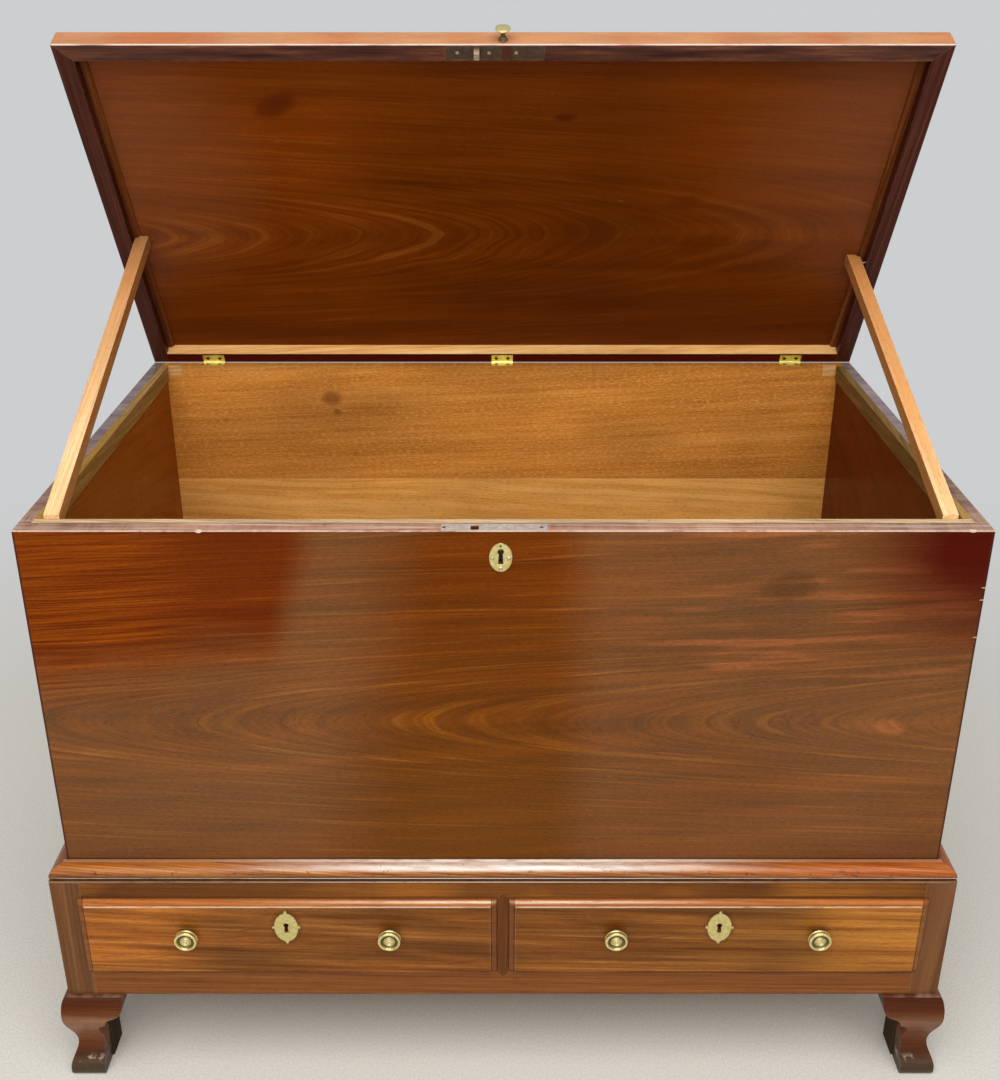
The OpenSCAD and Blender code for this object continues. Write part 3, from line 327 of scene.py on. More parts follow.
def foot_tint(place, bands, colour):
    """Foot: greyed pad, scuffed toe, painted highlights on the toe, swell and flat top, painted shade on the dark red
    shoulder, darker on the right foot, and the glued seam.
    """
    x, y, z = split(here())
    uneven = times(minus(noise(place, 28), 0.5), 0.05)
    height = plus(calc("DIVIDE", z, foot_height), uneven)
    # Painted light by height: a highlight on the swell, shade on the dark red shoulder
    by_height = ramp(height, [(0, 84, 76, 56), (0.08, 70, 54, 40), (0.16, 88, 64, 46), (0.24, 74, 40, 20),
                              (0.42, 112, 60, 26), (0.55, 132, 84, 54), (0.72, 138, 98, 68), (0.8, 112, 62, 28),
                              (0.87, 88, 39, 8), (1, 74, 32, 8)])
    colour = dimmed(by_height, bands, 0.2, 0.8, 0.82, 1.2)
    colour = laid(colour, (72, 26, 14), smooth(x, 0.4, 0.6), smooth(height, 0.2, 0.3), 0.3)
    # Scuffs on the toe, with a painted highlight on its rounding
    scuff_and_highlight = times(between(height, 0.13, 0.22, 0.04), smooth(noise(place, 70), 0.54, 0.68))
    colour = laid(colour, (186, 168, 158), scuff_and_highlight, 0.8)
    # A painted highlight, in places, on the flat top
    top = smooth(z, foot_height - 0.0022, foot_height - 0.0008)
    colour = laid(colour, (150, 118, 98), top, span(noise(place, 40), 0.4, 0.65, 0.1, 0.7))
    front_seam = between(absolute(x), frame_half - leg_width, frame_half - leg_width, 0.0009)
    side_seam = between(y, frame_front + leg_width, frame_front + leg_width, 0.0009)
    upper = smooth(z, foot_height * 0.66, foot_height * 0.7)
    seam = times(most(times(front_seam, smooth(y, frame_front + 0.002, frame_front)), side_seam), upper)
    return laid(colour, (58, 34, 26), seam, 0.8)


wood_stops = [(0, 70, 38, 20), (0.5, 105, 62, 38), (1, 140, 92, 62)]
polished("Foot mahogany", "foot_front_left foot_front_right", "xz", wood_stops, heart=0.4, rise=0.05, seed=3,
         tint=foot_tint, scratch=0.4, ring=0.006)
polished("Rear foot mahogany", "foot_rear_left foot_rear_right", "yz", wood_stops, heart=0.4, rise=0.05, seed=4,
         tint=foot_tint, scratch=0.4, ring=0.006)
# The blocks are coloured dark as painted shade inside the feet
polished("Foot block", "foot_blocks", "zx", [(0, 44, 34, 22), (0.5, 62, 48, 32), (1, 84, 66, 46)], seed=6, edge_wear_and_sheen=0.2,
         ring=0.006, **bare(0.1, 0.8))

# Stand frame. A low frame of mahogany: corner posts, rails tenoned between them, side boards, and between
# the drawers a divider with pointed ends let into the rails. The back and the drawer bearers are plain oak.

rail_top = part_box("stand_top_rail")[1][2]
(drawer_left_edge, _, lip_bottom), (drawer_right_edge, _, lip_top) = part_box("drawer_left_front")


def under_moulding(place, bands, colour):
    """Rails: painted shade in dark lines under the moulding, along the drawers' lips and at the lower edge, and on
    the top rail towards its ends.
    """
    x, y, z = split(here())
    # Painted shade under the moulding and along the lower edge
    painted_shade_lines = most(smooth(z, rail_top - 0.004, rail_top), smooth(z, foot_height + 0.003, foot_height + 0.0005))
    colour = shaded(colour, painted_shade_lines, 0.72)
    # Painted shade in the gaps below and above the drawers' lips
    below = times(smooth(z, lip_bottom - 0.0045, lip_bottom - 0.0025), span(noise(place, 3, 2), 0.4, 0.55, 0.4, 1))
    above = times(smooth(z, lip_top + 0.0058, lip_top + 0.0035), smooth(z, lip_top - 0.051, lip_top - 0.011))
    lips = most(below, above)
    # Painted shade over the top rail towards its ends
    ends = times(smooth(z, lip_top - 0.001, lip_top + 0.001), span(absolute(x), 0.15, 0.62))
    colour = dimmed(colour, ends, 0, 1, 0.98, 0.56)
    return laid(colour, (52, 16, 6), lips, 0.75)


polished("Rail mahogany", "stand_bottom_rail", "xz",
         [(0, 92, 48, 18), (0.4, 128, 72, 28), (0.75, 142, 84, 38), (1, 172, 112, 62)], heart=0.75, depth=0.06,
         rise=0.02, seed=8, edge_wear_and_sheen=0.5, tint=under_moulding)
# The top rail takes the rail's wood painted much lighter: painted light against the moulding's shadow over it
polished("Top rail mahogany painted light", "stand_top_rail", "xz",
         [(0, 158, 92, 26), (0.4, 204, 122, 36), (0.75, 220, 140, 50), (1, 238, 166, 84)], heart=0.75, depth=0.06,
         rise=0.02, seed=9, edge_wear_and_sheen=0.5, tint=under_moulding)
polished("Post mahogany", "stand_posts", "zx", [(0, 88, 52, 26), (0.5, 114, 72, 38), (1, 136, 90, 54)], heart=1.2,
         ring=0.007, seed=11, bold=0.75, edge_wear_and_sheen=0.7)
polished("Divider mahogany", "centre_divider", "zx", [(0, 74, 38, 10), (0.5, 104, 58, 16), (1, 128, 78, 32)],
         heart=1.2, ring=0.005, seed=12, edge_wear_and_sheen=0.5)
polished("Stand side mahogany", "stand_side_left stand_side_right", "yz",
         [(0, 78, 38, 16), (0.5, 112, 60, 28), (1, 146, 90, 50)], heart=0.5, depth=0.15, seed=5, ring=0.006)

old_oak_stops = [(0, 104, 66, 32), (0.5, 148, 102, 56), (1, 182, 136, 84)]
polished("Bearer oak", "drawer_runners drawer_guides drawer_kickers", "yx", old_oak_stops, heart=1, ring=0.005,
         seed=31, **bare(0.15, 0.65))
polished("Backboard oak", "stand_back", "xz", old_oak_stops, heart=1, ring=0.006, seed=32, **bare(0.15, 0.65))

# Waist moulding. An ovolo over a fillet, a sunk quirk and a thin base, run in mahogany, mitred at the front
# corners and glued to the chest and the frame. It is a bright orange, pitted and dented, with painted highlights
# on its edges and flat top, a painted glare along its round, and painted shade in its quirk and behind it.

moulding_foot, moulding_top = (corner[2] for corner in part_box("waist_moulding_front"))
moulding_height = moulding_top - moulding_foot
quirk_foot, quirk_top, round_foot = 0.003, 0.0071, 0.0085
(_, chest_face, _), (chest_half, _, chest_top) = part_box("front_board")


def fibred(colour, along, across, strength):
    """Fine short fibres that make the colour uneven."""
    fine = grained(along, 120, across, 760, 5, 2, 0.7)
    return dimmed(colour, fine, 0.3, 0.7, 1 - strength, 1 + strength)


def near(x, z, middle_x, middle_z, half_x, half_z, soft=0.5):
    """1 at a point of the board, falling to 0 at the edge of an oval round it."""
    across = calc("DIVIDE", minus(x, middle_x), half_x)
    up = calc("DIVIDE", minus(z, middle_z), half_z)
    away = plus(times(across, across), times(up, up))
    return smooth(away, 1, 1 - soft)


def moulding_tint(place, bands, colour):
    """Moulding: painted highlights on its base, fillet and flat top, painted shade in its quirk, low on it and behind
    it, and stains on its round.
    """
    x, y, z = split(here())
    up = minus(z, moulding_foot)
    breaks = span(noise(place, (30, 200, 200)), 0.34, 0.52, 0.35, 1)
    centre = smooth(absolute(x), 0.5, 0.1)
    # Painted light on the moulding: darker low down, lighter on the upper round
    colour = dimmed(colour, up, 0.009, 0.019, 0.44, 1.12)
    # A painted highlight on the base's edge
    base_edge = between(up, quirk_foot - 0.0016, quirk_foot - 0.0004, 0.0003)
    colour = laid(colour, (196, 168, 140), base_edge, breaks, 0.7)
    colour = laid(colour, (96, 56, 32), smooth(up, 0.0012, 0.0006), 0.7)
    # Painted shade in the quirk
    colour = laid(colour, (54, 28, 18), between(up, quirk_foot, quirk_top, 0.0002), 0.97)
    # A painted highlight on the fillet
    fillet = between(up, quirk_top + 0.0001, round_foot - 0.0001, 0.0003)
    colour = laid(colour, (220, 194, 164), fillet, breaks, 0.85)
    # A painted glare, the reflection of the light, lies along the middle of the round
    wear_and_glare = times(smooth(absolute(x), 0.46, 0.04), between(up, 0.0185, 0.0232, 0.0022),
                 span(noise(place, (14, 120, 120)), 0.3, 0.55, 0.5, 1))
    colour = laid(colour, (255, 246, 234), wear_and_glare, 0.98)
    lit = most(between(up, quirk_top + 0.0002, round_foot - 0.0001, 0.0003),
               between(up, quirk_foot - 0.0016, quirk_foot - 0.0006, 0.0003))
    colour = laid(colour, (255, 236, 220), lit, centre, 0.7)
    redder = times(smooth(x, 0.2, 0.55), smooth(up, round_foot, round_foot + 0.0015), 0.4)
    colour = mix(redder, colour, dimmed((176, 72, 22), bands, 0.2, 0.8, 0.8, 1.25))
    stains = times(smooth(noise(place, (60, 110, 110), 4, 0.7), 0.57, 0.66),
                   between(up, round_foot, round_foot + 0.01, 0.001))
    colour = laid(colour, (104, 44, 14), stains, 0.75)
    arris = between(up, moulding_height - 0.0022, moulding_height - 0.0013, 0.0003)
    colour = laid(colour, (128, 60, 24), arris, breaks, 0.4)
    # A painted highlight on the flat top
    flat = smooth(up, moulding_height - 0.0012, moulding_height - 0.0006)
    colour = laid(colour, mix(times(centre, breaks), (168, 122, 88), (255, 240, 222)), flat, 0.85)
    # Painted shadow behind the moulding's top, against the chest
    behind = times(flat, smooth(y, chest_face - 0.0016, chest_face - 0.0006))
    return laid(colour, (60, 26, 14), behind, 0.8)


moulding_stops = [(0, 108, 52, 10), (0.4, 156, 88, 28), (0.75, 188, 118, 46), (1, 218, 160, 90)]
polished("Moulding mahogany", "waist_moulding_front", "xz", moulding_stops, seed=21, roughness=0.2, specular=0.24,
         coat=0.08, edge_wear_and_sheen=0.3, tint=moulding_tint)
# The side mouldings take the front's colours darkened, as painted shade on the sides
shaded_moulding_stops = [(place, *(int(part * 0.72) for part in colour)) for place, *colour in moulding_stops]
polished("Side moulding mahogany", "waist_moulding_sides", "yz", shaded_moulding_stops, seed=22, roughness=0.2, specular=0.3,
         coat=0.1, edge_wear_and_sheen=0.3, tint=moulding_tint)

# Drawers. Each has a golden mahogany front with lips that lap over the frame, a rounded bead and a thin
# step along them, dovetailed oak sides and back, a bottom slid into grooves, and a lock behind the front.

drawer_middle = -(drawer_left_edge + drawer_right_edge) / 2
lip_half = (drawer_right_edge - drawer_left_edge) / 2
bead = 0.011
plate_low, plate_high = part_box("drawer_left_escutcheon")
plate_middle = -(plate_low[0] + plate_high[0]) / 2
plate_height = (plate_low[2] + plate_high[2]) / 2


def drawer_tint(place, bands, colour):
    """Drawer front: ribbons and strokes of grain, painted shade round the plate, a lit bead with painted shade along
    its top, painted highlights on the bead and the step, and painted shade in the gaps round the lips and under them.
    """
    x, y, z = split(here())
    down = minus(lip_top, z)
    aside = absolute(x)
    inward = minus(lip_half, absolute(minus(aside, drawer_middle)))
    run, rise, deep = split(place)
    ribbon = grained(run, 3.4, plus(rise, times(run, 0.1)), 34, 0, 3, 0.5)
    colour = dimmed(colour, ribbon, 0.34, 0.66, 0.66, 1.3)
    strokes = grained(run, 11, minus(rise, times(run, 0.16)), 130, 0, 2, 0.5)
    colour = laid(colour, (104, 54, 18), smooth(strokes, 0.6, 0.72), 0.45)
    # Painted shade round the keyhole plate
    colour = shaded(colour, near(minus(aside, plate_middle), z, 0, plate_height, 0.027, 0.037), 0.72)
    colour = laid(colour, (160, 108, 38), smooth(x, 0.2, 0.5), span(bands, 0.3, 0.7, 0.1, 0.5))
    colour = fibred(colour, run, rise, 0.14)
    colour = dimmed(colour, smooth(aside, 0.41, 0.54), 0, 1, 0.8, 1.4)
    broken = span(noise(place, (24, 300, 300)), 0.34, 0.5, 0.5, 1)
    # The bead is painted lit, with painted shade along its top
    on_bead = smooth(down, bead - 0.0012, bead - 0.002)
    # A painted highlight along the bead
    glow = times(between(down, 0.0016, 0.0048, 0.0012), smooth(aside, 0.42, 0.02))
    bright = ramp(bands, [(0, 150, 74, 22), (0.5, 196, 112, 50), (1, 222, 146, 82)])
    colour = laid(colour, dimmed(bright, down, 0, 0.004, 0.5, 1), on_bead, 0.85)
    colour = laid(colour, (252, 224, 196), glow, broken, 0.85)
    # A painted highlight on the step
    line = most(between(down, bead - 0.001, bead + 0.0006, 0.0004),
                times(between(inward, bead - 0.0008, bead + 0.0002, 0.0003), 0.2))
    inside = times(smooth(inward, bead - 0.002, bead - 0.001), smooth(down, bead - 0.002, bead - 0.001))
    colour = laid(colour, (228, 200, 170), line, inside, broken, 0.85)
    colour = laid(colour, (116, 66, 32), smooth(inward, bead - 0.002, bead - 0.004), 0.7)
    # Painted shade under the lower lip and in the gaps round the lips and along the step
    shade_under_lip = times(smooth(z, lip_bottom + 0.0022, lip_bottom + 0.0012),
                  span(noise(place, (5, 1, 1), 2), 0.4, 0.55, 0.3, 0.95))
    gap_shade = most(times(between(inward, bead - 0.003, bead - 0.0016, 0.0005), 0.8),
                most(times(smooth(inward, 0.0016, 0.0008), 0.8), shade_under_lip))
    gap_shade = most(gap_shade, times(between(down, bead - 0.0022, bead - 0.0013, 0.0004), 0.6))
    return mix(gap_shade, colour, (58, 26, 10))


drawer_stops = [(0, 92, 46, 10), (0.34, 128, 70, 20), (0.62, 148, 88, 32), (1, 182, 120, 58)]
polished("Drawer mahogany", "drawer_left_front", ((1, 0, 0.012), (0, 0, 1)), drawer_stops, heart=0.62, depth=0.05,
         rise=0.03, ring=0.0065, wave=0.02, seed=41, bold=0.72, edge_wear_and_sheen=0.35, tint=drawer_tint)
polished("Right drawer mahogany", "drawer_right_front", ((1, 0, -0.01), (0, 0, 1)), drawer_stops, heart=0.66,
         depth=0.05, rise=0.02, ring=0.006, seed=44, bold=0.72, edge_wear_and_sheen=0.35, tint=drawer_tint)
drawer_oak_stops = [(0, 126, 88, 50), (0.5, 172, 130, 82), (1, 204, 166, 116)]
for side_name in ("left", "right"):
    polished("Drawer side oak " + side_name, f"drawer_{side_name}_sides", "yz", drawer_oak_stops, ring=0.005,
             seed=33, **bare(0.15, 0.6))
    polished("Drawer oak " + side_name, f"drawer_{side_name}_back drawer_{side_name}_bottom",
             ((1, 0, 0), (0, 1, 0.2)), drawer_oak_stops, ring=0.005, seed=34, **bare(0.15, 0.6))

# Drawer brasses. Each drawer has two turned knobs with a dished face and a roped rim, and a lobed plate pinned
# round its keyhole, all of polished brass gone olive in the hollows. The locks behind are old iron.

old_metal, given = new_group("Old metal", {"Vector": "Vector"}, {"Clouds": 0, "Spots": 0, "Lines": 0})
place = given["Vector"]
fill(put("NodeGroupOutput"), {
    "Clouds": span(noise(place, 140, 4, 0.65), 0.34, 0.7),
    "Spots": smooth(noise(place, 420, 2), 0.62, 0.7),
    "Lines": span(noise(place, (90, 900, 900), 2), 0.4, 0.6)})


def metal(name, nodes, bright, dull, dirt, roughness, hollow=None, rubbed_and_sheen=(255, 246, 214), specks=0.5, shine=1):
    """Old metal: cloudy tarnish, dark specks, rubbed edges with a painted highlight on them, and dirt in the hollows
    that a mask names.
    """
    made, shader = new_material(name)
    surface = use(old_metal, {"Vector": here()})
    colour = mix(surface["Clouds"], bright, dull)
    colour = laid(colour, dirt, surface["Spots"], specks)
    # The pale colour on the edges is rubbed brass and a painted highlight
    edge_rub_and_sheen = use(rounded_edge, {"Size": 0.0006})
    colour = laid(colour, rubbed_and_sheen, edge_rub_and_sheen["Mask"], 0.6)
    gloss = plus(roughness, times(surface["Clouds"], 0.16))
    if hollow is not None:
        dark = hollow()
        colour = mix(dark, colour, dirt)
        gloss = plus(gloss, times(dark, 0.3))
    height = minus(times(surface["Lines"], 0.3), surface["Spots"])
    bump = put("ShaderNodeBump", {"Strength": 0.25, "Distance": 0.0002, "Height": height, "Normal": edge_rub_and_sheen["Normal"]})
    fill(shader, {"Base Color": colour, "Roughness": gloss, "Metallic": shine, "Normal": bump.outputs[0]})
    finish(made, nodes)
    return made


knob_radius = 0.017
knob_low, knob_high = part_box("drawer_left_knobs")
knob_front = knob_low[1]
knob_height = (knob_low[2] + knob_high[2]) / 2
knob_spread = (knob_high[0] - knob_low[0]) / 2 - knob_radius


def knob_hollows():
    """The dish, the grooves between its rings, and the neck behind the rim."""
    x, y, z = split(here())
    across = minus(absolute(minus(absolute(x), drawer_middle)), knob_spread)
    up = minus(z, knob_height)
    radius = calc("SQRT", plus(times(across, across), times(up, up)))
    sunk = smooth(y, knob_front + 0.0012, knob_front + 0.003)
    face = smooth(radius, 0.0135, 0.0125)
    neck = times(smooth(y, knob_front + 0.008, knob_front + 0.01), 0.7)
    return times(most(times(sunk, face), neck), 0.85)


def plate_edges():
    """The rim of a plate, where polish gathers against the wood."""
    spots = noise(here(), 260)
    return times(use(rounded_edge, {"Size": 0.0022})["Mask"], span(spots, 0.35, 0.6), 0.8)


knob_brass = metal("Knob brass", "drawer_left_knobs drawer_right_knobs", (246, 232, 170), (214, 194, 120),
                   (74, 62, 26), 0.22, knob_hollows)
metal("Plate brass", "drawer_left_escutcheon drawer_right_escutcheon chest_escutcheon", (236, 224, 160),
      (204, 186, 112), (76, 62, 28), 0.24, plate_edges, specks=0.3)
metal("Lock iron", "drawer_left_lock drawer_right_lock lock_case", (120, 108, 92), (88, 76, 62), (84, 48, 26), 0.45,
      rubbed_and_sheen=(170, 160, 146))

# The rope round a knob's rim: a ring of slanting lobes, set out round a circle
rope = opened(bpy.data.node_groups.new("Roped rim", "GeometryNodeTree"))
new_sockets(rope, "OUTPUT", {"Geometry": "Geometry"})
rope_inputs = new_sockets(rope, "INPUT", {
    "Ring Radius": 0.0156, "Lobes": "Int", "Lobe Size": (0.0019, 0.0009, 0.001), "Slant": 0.6,
    "First Knob": (0, 0, 0), "Second Knob": (0, 0, 0), "Brass": "Material"})
given = put("NodeGroupInput").outputs


def step(kind, inputs=None, **settings):
    return put("GeometryNode" + kind, inputs, **settings).outputs[0]


circle = step("CurvePrimitiveCircle", {"Radius": given["Ring Radius"]}, mode="RADIUS")
spots = put("GeometryNodeCurveToPoints", {"Curve": circle, "Count": given["Lobes"]}, mode="COUNT").outputs
lobe = step("Transform", {"Geometry": step("MeshIcoSphere", {"Radius": 1, "Subdivisions": 2}),
                          "Scale": given["Lobe Size"]})
lobe = step("Transform", {"Geometry": lobe, "Rotation": joined(0, 0, given["Slant"])})
direction = put("FunctionNodeAlignEulerToVector", {"Vector": spots["Tangent"]}, axis="X", pivot_axis="Z").outputs[0]
ring = step("InstanceOnPoints", {"Points": spots["Points"], "Instance": lobe, "Rotation": direction})
upright = step("Transform", {"Geometry": ring, "Rotation": (math.pi / 2, 0, 0)})
both = put("GeometryNodeJoinGeometry")
for knob in ("First Knob", "Second Knob"):
    fill(both, {"Geometry": step("Transform", {"Geometry": upright, "Translation": given[knob]})})
rounded = step("SetShadeSmooth", {"Geometry": step("RealizeInstances", {"Geometry": both.outputs[0]})})
dressed = step("SetMaterial", {"Geometry": rounded, "Material": given["Brass"]})
fill(put("NodeGroupOutput"), {"Geometry": dressed})


def grown(name, group, identifiers, values):
    """The plain mesh object that a geometry tree makes from the values given to its inputs."""
    start = added(name + "_start", bpy.data.meshes.new(name + "_start"))
    modifier = start.modifiers.new("nodes", "NODES")
    modifier.node_group = group
    for socket_name, value in values.items():
        modifier[identifiers[socket_name]] = value
    bpy.context.view_layer.update()
    evaluated = start.evaluated_get(bpy.context.evaluated_depsgraph_get())
    mesh = bpy.data.meshes.new_from_object(evaluated)
    mesh.name = name
    bpy.data.objects.remove(start)
    return added(name, mesh)


for side_name, middle in (("left", -drawer_middle), ("right", drawer_middle)):
    first, second = ((middle + shift, knob_front + 0.0012, knob_height) for shift in (-knob_spread, knob_spread))
    rims = grown(f"knob_roped_rims_{side_name}", rope, rope_inputs,
                 {"Lobes": 30, "First Knob": first, "Second Knob": second, "Brass": knob_brass})
    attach(rims, "drawer_" + side_name)

# Chest. A deep box of mahogany boards with lapped dovetails at the front, on an oak bottom held in a groove.
# The front is one wide board, its heart figure running in arches from right to left, under a painted reflection:
# a pale veil that leaves its red at the left. The rim carries a painted mauve-grey sheen, with pale chips.

board = 0.027


def rim_sheen_and_wear(colour, place):
    """The top edges of the boards: a painted mauve-grey sheen with redder stretches, darker towards the back and
    the ends, and a pale arris of wear with a painted highlight.
    """
    x, y, z = split(here())
    top = smooth(z, chest_top - 0.0006, chest_top - 0.0002)
    long_run = noise(place, (4, 1, 130), 4, 0.6)
    rim = ramp(long_run, [(0.32, 104, 70, 60), (0.44, 146, 104, 86), (0.55, 170, 124, 98), (0.68, 212, 190, 176)])
    rim = shaded(rim, smooth(y, chest_face + 0.03, chest_face + 0.08), 0.62)
    rim = dimmed(rim, smooth(absolute(x), 0.36, 0.6), 0, 1, 1.12, 0.72)
    rim = mix(smooth(y, -0.2, 0.05), rim, dimmed((116, 104, 112), x, -0.5, 0.5, 0.8, 1.2))
    rim = laid(rim, (52, 42, 42), smooth(y, 0.2, 0.31), 0.8)
    colour = laid(colour, rim, top, 0.95)
    # The pale arris is wear with a painted highlight
    arris = times(between(z, chest_top - 0.0011, chest_top - 0.0001, 0.0004),
                  span(noise(place, (35, 4, 4), 4, 0.7), 0.4, 0.6, 0.1, 1))
    return laid(colour, (214, 182, 164), arris, 0.85)


def front_tint(place, bands, colour):
    """Chest front: grain marks, painted reflection, painted highlights and painted shade at their places on the
    board, x from its middle and z from the floor.
    """
    x, y, z = split(here())
    clouds = times(minus(noise(place, (3, 6, 1)), 0.5), 0.1)
    rough_x = plus(x, times(clouds, 0.3))
    rough_z = plus(z, clouds)
    # A few golden lines that climb to the right, and broad dark streaks
    climb = minus(z, times(x, 0.06))
    lines = grained(x, 3.6, climb, 150, 3, 3, 0.6)
    golden = times(smooth(lines, 0.58, 0.74), span(rough_z, 0.62, 0.86, 0.15, 1),
                   smooth(noise(place, (4, 11, 1), 2), 0.44, 0.56))
    colour = laid(colour, (176, 100, 34), golden, 0.5)
    streaks = grained(x, 2.2, climb, 34, 8)
    colour = dimmed(colour, streaks, 0.3, 0.7, 0.72, 1.26)
    upper_right = times(smooth(x, 0.1, 0.3), smooth(z, 0.66, 0.76))
    swept = grained(x, 4.4, minus(z, times(x, 0.03)), 60, 21, 3, 0.6)
    colour = laid(colour, (178, 92, 44), upper_right, smooth(swept, 0.5, 0.68), 0.55)
    colour = shaded(colour, times(upper_right, smooth(swept, 0.48, 0.34)), 0.76)
    # Painted reflection: the red shows at the upper left, less at the middle, and dark at the upper right; a pale
    # veil lies elsewhere
    down = minus(chest_top, z)
    high = plus(rough_z, clouds)
    left = times(smooth(plus(rough_x, times(down, 0.28)), -0.236, -0.29), smooth(high, 0.66, 0.8))
    drawn = plus(x, times(down, 0.15))
    middle = times(smooth(drawn, -0.22, -0.07), smooth(rough_x, 0.15, 0.06))
    right = times(smooth(rough_x, 0.42, 0.6), smooth(high, 0.7, 0.92))
    dark_reflection = most(left, most(times(middle, span(z, 0.45, 0.9, 0.74, 1)), right))
    reflection_veil = span(dark_reflection, 0, 1, 0.18, 0)
    reflection_veil = times(reflection_veil, span(noise(place, (2.5, 5, 1), 2), 0.3, 0.7, 0.8, 1.2))
    colour = laid(colour, (100, 20, 0), left, 0.4)
    colour = laid(colour, (106, 66, 8), middle, span(z, 0.9, 0.5, 0, 0.4))
    rising = grained(x, 2.4, minus(z, times(x, 0.1)), 90, 12, 3, 0.6)
    rising = span(plus(times(bands, 0.4), times(rising, 0.6)), 0.44, 0.66, 0, 0.66)
    colour = laid(colour, (168, 82, 4), left, smooth(rough_x, -0.36, -0.56), rising)
    colour = laid(colour, dimmed((76, 9, 0), bands, 0.2, 0.8, 0.8, 1.2), right, 0.97)
    colour = mix(reflection_veil, colour, (156, 131, 92))
    # A dark bruise, a bright wedge of grain and small dents
    colour = shaded(colour, near(x, rough_z, 0.385, 0.87, 0.05, 0.03, 0.9), 0.72)
    wedge = near(plus(x, times(minus(z, 0.64), 0.5)), z, 0.55, 0.642, 0.026, 0.016, 0.8)
    colour = laid(colour, (190, 112, 60), wedge, bands, 0.6)
    colour = fibred(colour, x, z, 0.2)
    colour = laid(colour, (66, 34, 26), smooth(absolute(x), chest_half - 0.0032, chest_half - 0.0022), 0.8)
    colour = rim_sheen_and_wear(colour, place)
    # A painted highlight along the front's top arris
    front_arris = times(smooth(y, chest_face + 0.0022, chest_face + 0.0012),
                        smooth(z, chest_top - 0.0014, chest_top - 0.0008),
                        span(noise(place, (26, 4, 4), 4, 0.7), 0.4, 0.56, 0.1, 1))
    colour = laid(colour, (232, 204, 186), front_arris, 0.9)
    chips = most(near(x, z, -0.403, chest_top - 0.001, 0.0045, 0.0022),
                 near(x, z, 0.621, chest_top - 0.0005, 0.005, 0.002))
    chips = times(chips, smooth(y, chest_face + 0.005, chest_face + 0.003))
    for chip_z in (0.849, 0.868, 0.79):
        chips = most(chips, times(near(x, z, 0.648, chip_z, 0.004, 0.0011), 0.6))
    colour = mix(chips, colour, (226, 204, 184))
    # Painted shadow on the board just above the moulding
    return shaded(colour, smooth(z, moulding_top + 0.0035, moulding_top + 0.0005), 0.55)


polished("Front mahogany", "front_board", "xz",
         [(0, 76, 28, 0), (0.3, 98, 42, 1), (0.6, 112, 52, 2), (0.84, 130, 66, 5), (1, 166, 98, 28)], heart=0.65,
         depth=0.12, rise=0.14, ring=0.0056, narrow=9, wave=0.022, bold=0.72, pores=0.3, lines=0.5, fade=0.65,
         scratch=0.06, seed=51, roughness=0.22, specular=0.05, coat=0.015, edge=(190, 128, 96), edge_size=0.001,
         edge_wear_and_sheen=0.4, tint=front_tint)


def side_tint(place, bands, colour):
    """Chest side: bare inside, warmer at the left than at the right, where painted shade darkens it; polished and
    darker outside.
    """
    x, y, z = split(here())
    colour = fibred(colour, y, z, 0.15)
    inside = smooth(absolute(x), chest_half - board + 0.0006, chest_half - board + 0.0002)
    # The right side's inside is painted darker, as shade
    dry = mix(smooth(x, -0.1, 0.1), ramp(bands, [(0, 124, 62, 8), (0.5, 146, 76, 10), (1, 164, 92, 24)]),
              ramp(bands, [(0, 74, 16, 0), (0.5, 98, 26, 0), (1, 118, 38, 4)]))
    colour = mix(inside, colour, dry)
    return rim_sheen_and_wear(colour, place)


polished("Side mahogany", "side_board_left side_board_right", "yz",
         [(0, 60, 24, 8), (0.4, 92, 42, 14), (0.75, 116, 60, 24), (1, 146, 84, 44)], heart=0.6, depth=0.15,
         ring=0.005, seed=61, edge_wear_and_sheen=0.5, tint=side_tint)


back_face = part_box("back_board_lower")[1][1]
batten_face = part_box("front_batten")[0][1]


def oak_tint(place, bands, colour):
    """Oak with short flecks over it and a knot in the upper board; weathered to a dull brown outside."""
    x, y, z = split(here())
    curl = times(minus(noise(place, 24, 2), 0.5), 5)
    run, rise, deep = split(place)
    flecks = noise(joined(times(run, 120), plus(times(rise, 330), curl), 1), 1, 3, 0.65)
    colour = laid(colour, (240, 180, 108), smooth(flecks, 0.5, 0.68), 0.42)
    colour = dimmed(colour, flecks, 0.32, 0.48, 0.8, 1)
    colour = dimmed(colour, noise(place, (3, 9, 1)), 0.3, 0.7, 0.84, 1.16)
    knot = most(near(x, z, -0.319, 0.89, 0.028, 0.022, 0.98), near(x, z, -0.31, 0.862, 0.012, 0.009, 0.98))
    stain = near(x, z, -0.36, 0.87, 0.2, 0.08, 0.95)
    colour = mix(most(times(knot, 0.65), times(stain, 0.2)), colour, (104, 52, 18))
    weathered = ramp(bands, [(0, 84, 58, 34), (0.5, 116, 84, 50), (1, 142, 108, 70)])
    colour = laid(colour, weathered, smooth(y, back_face - 0.0008, back_face - 0.0003), 0.75)
    return shaded(colour, smooth(z, chest_top - 0.014, chest_top - 0.002), 0.86)


polished("Upper back oak", "back_board_upper", "xz", [(0, 172, 104, 32), (0.5, 204, 130, 50), (1, 224, 154, 74)],
         heart=1.3, ring=0.012, wave=0.03, seed=71, pores=0, edge=(210, 160, 110), tint=oak_tint, **bare(0.08, 0.65))
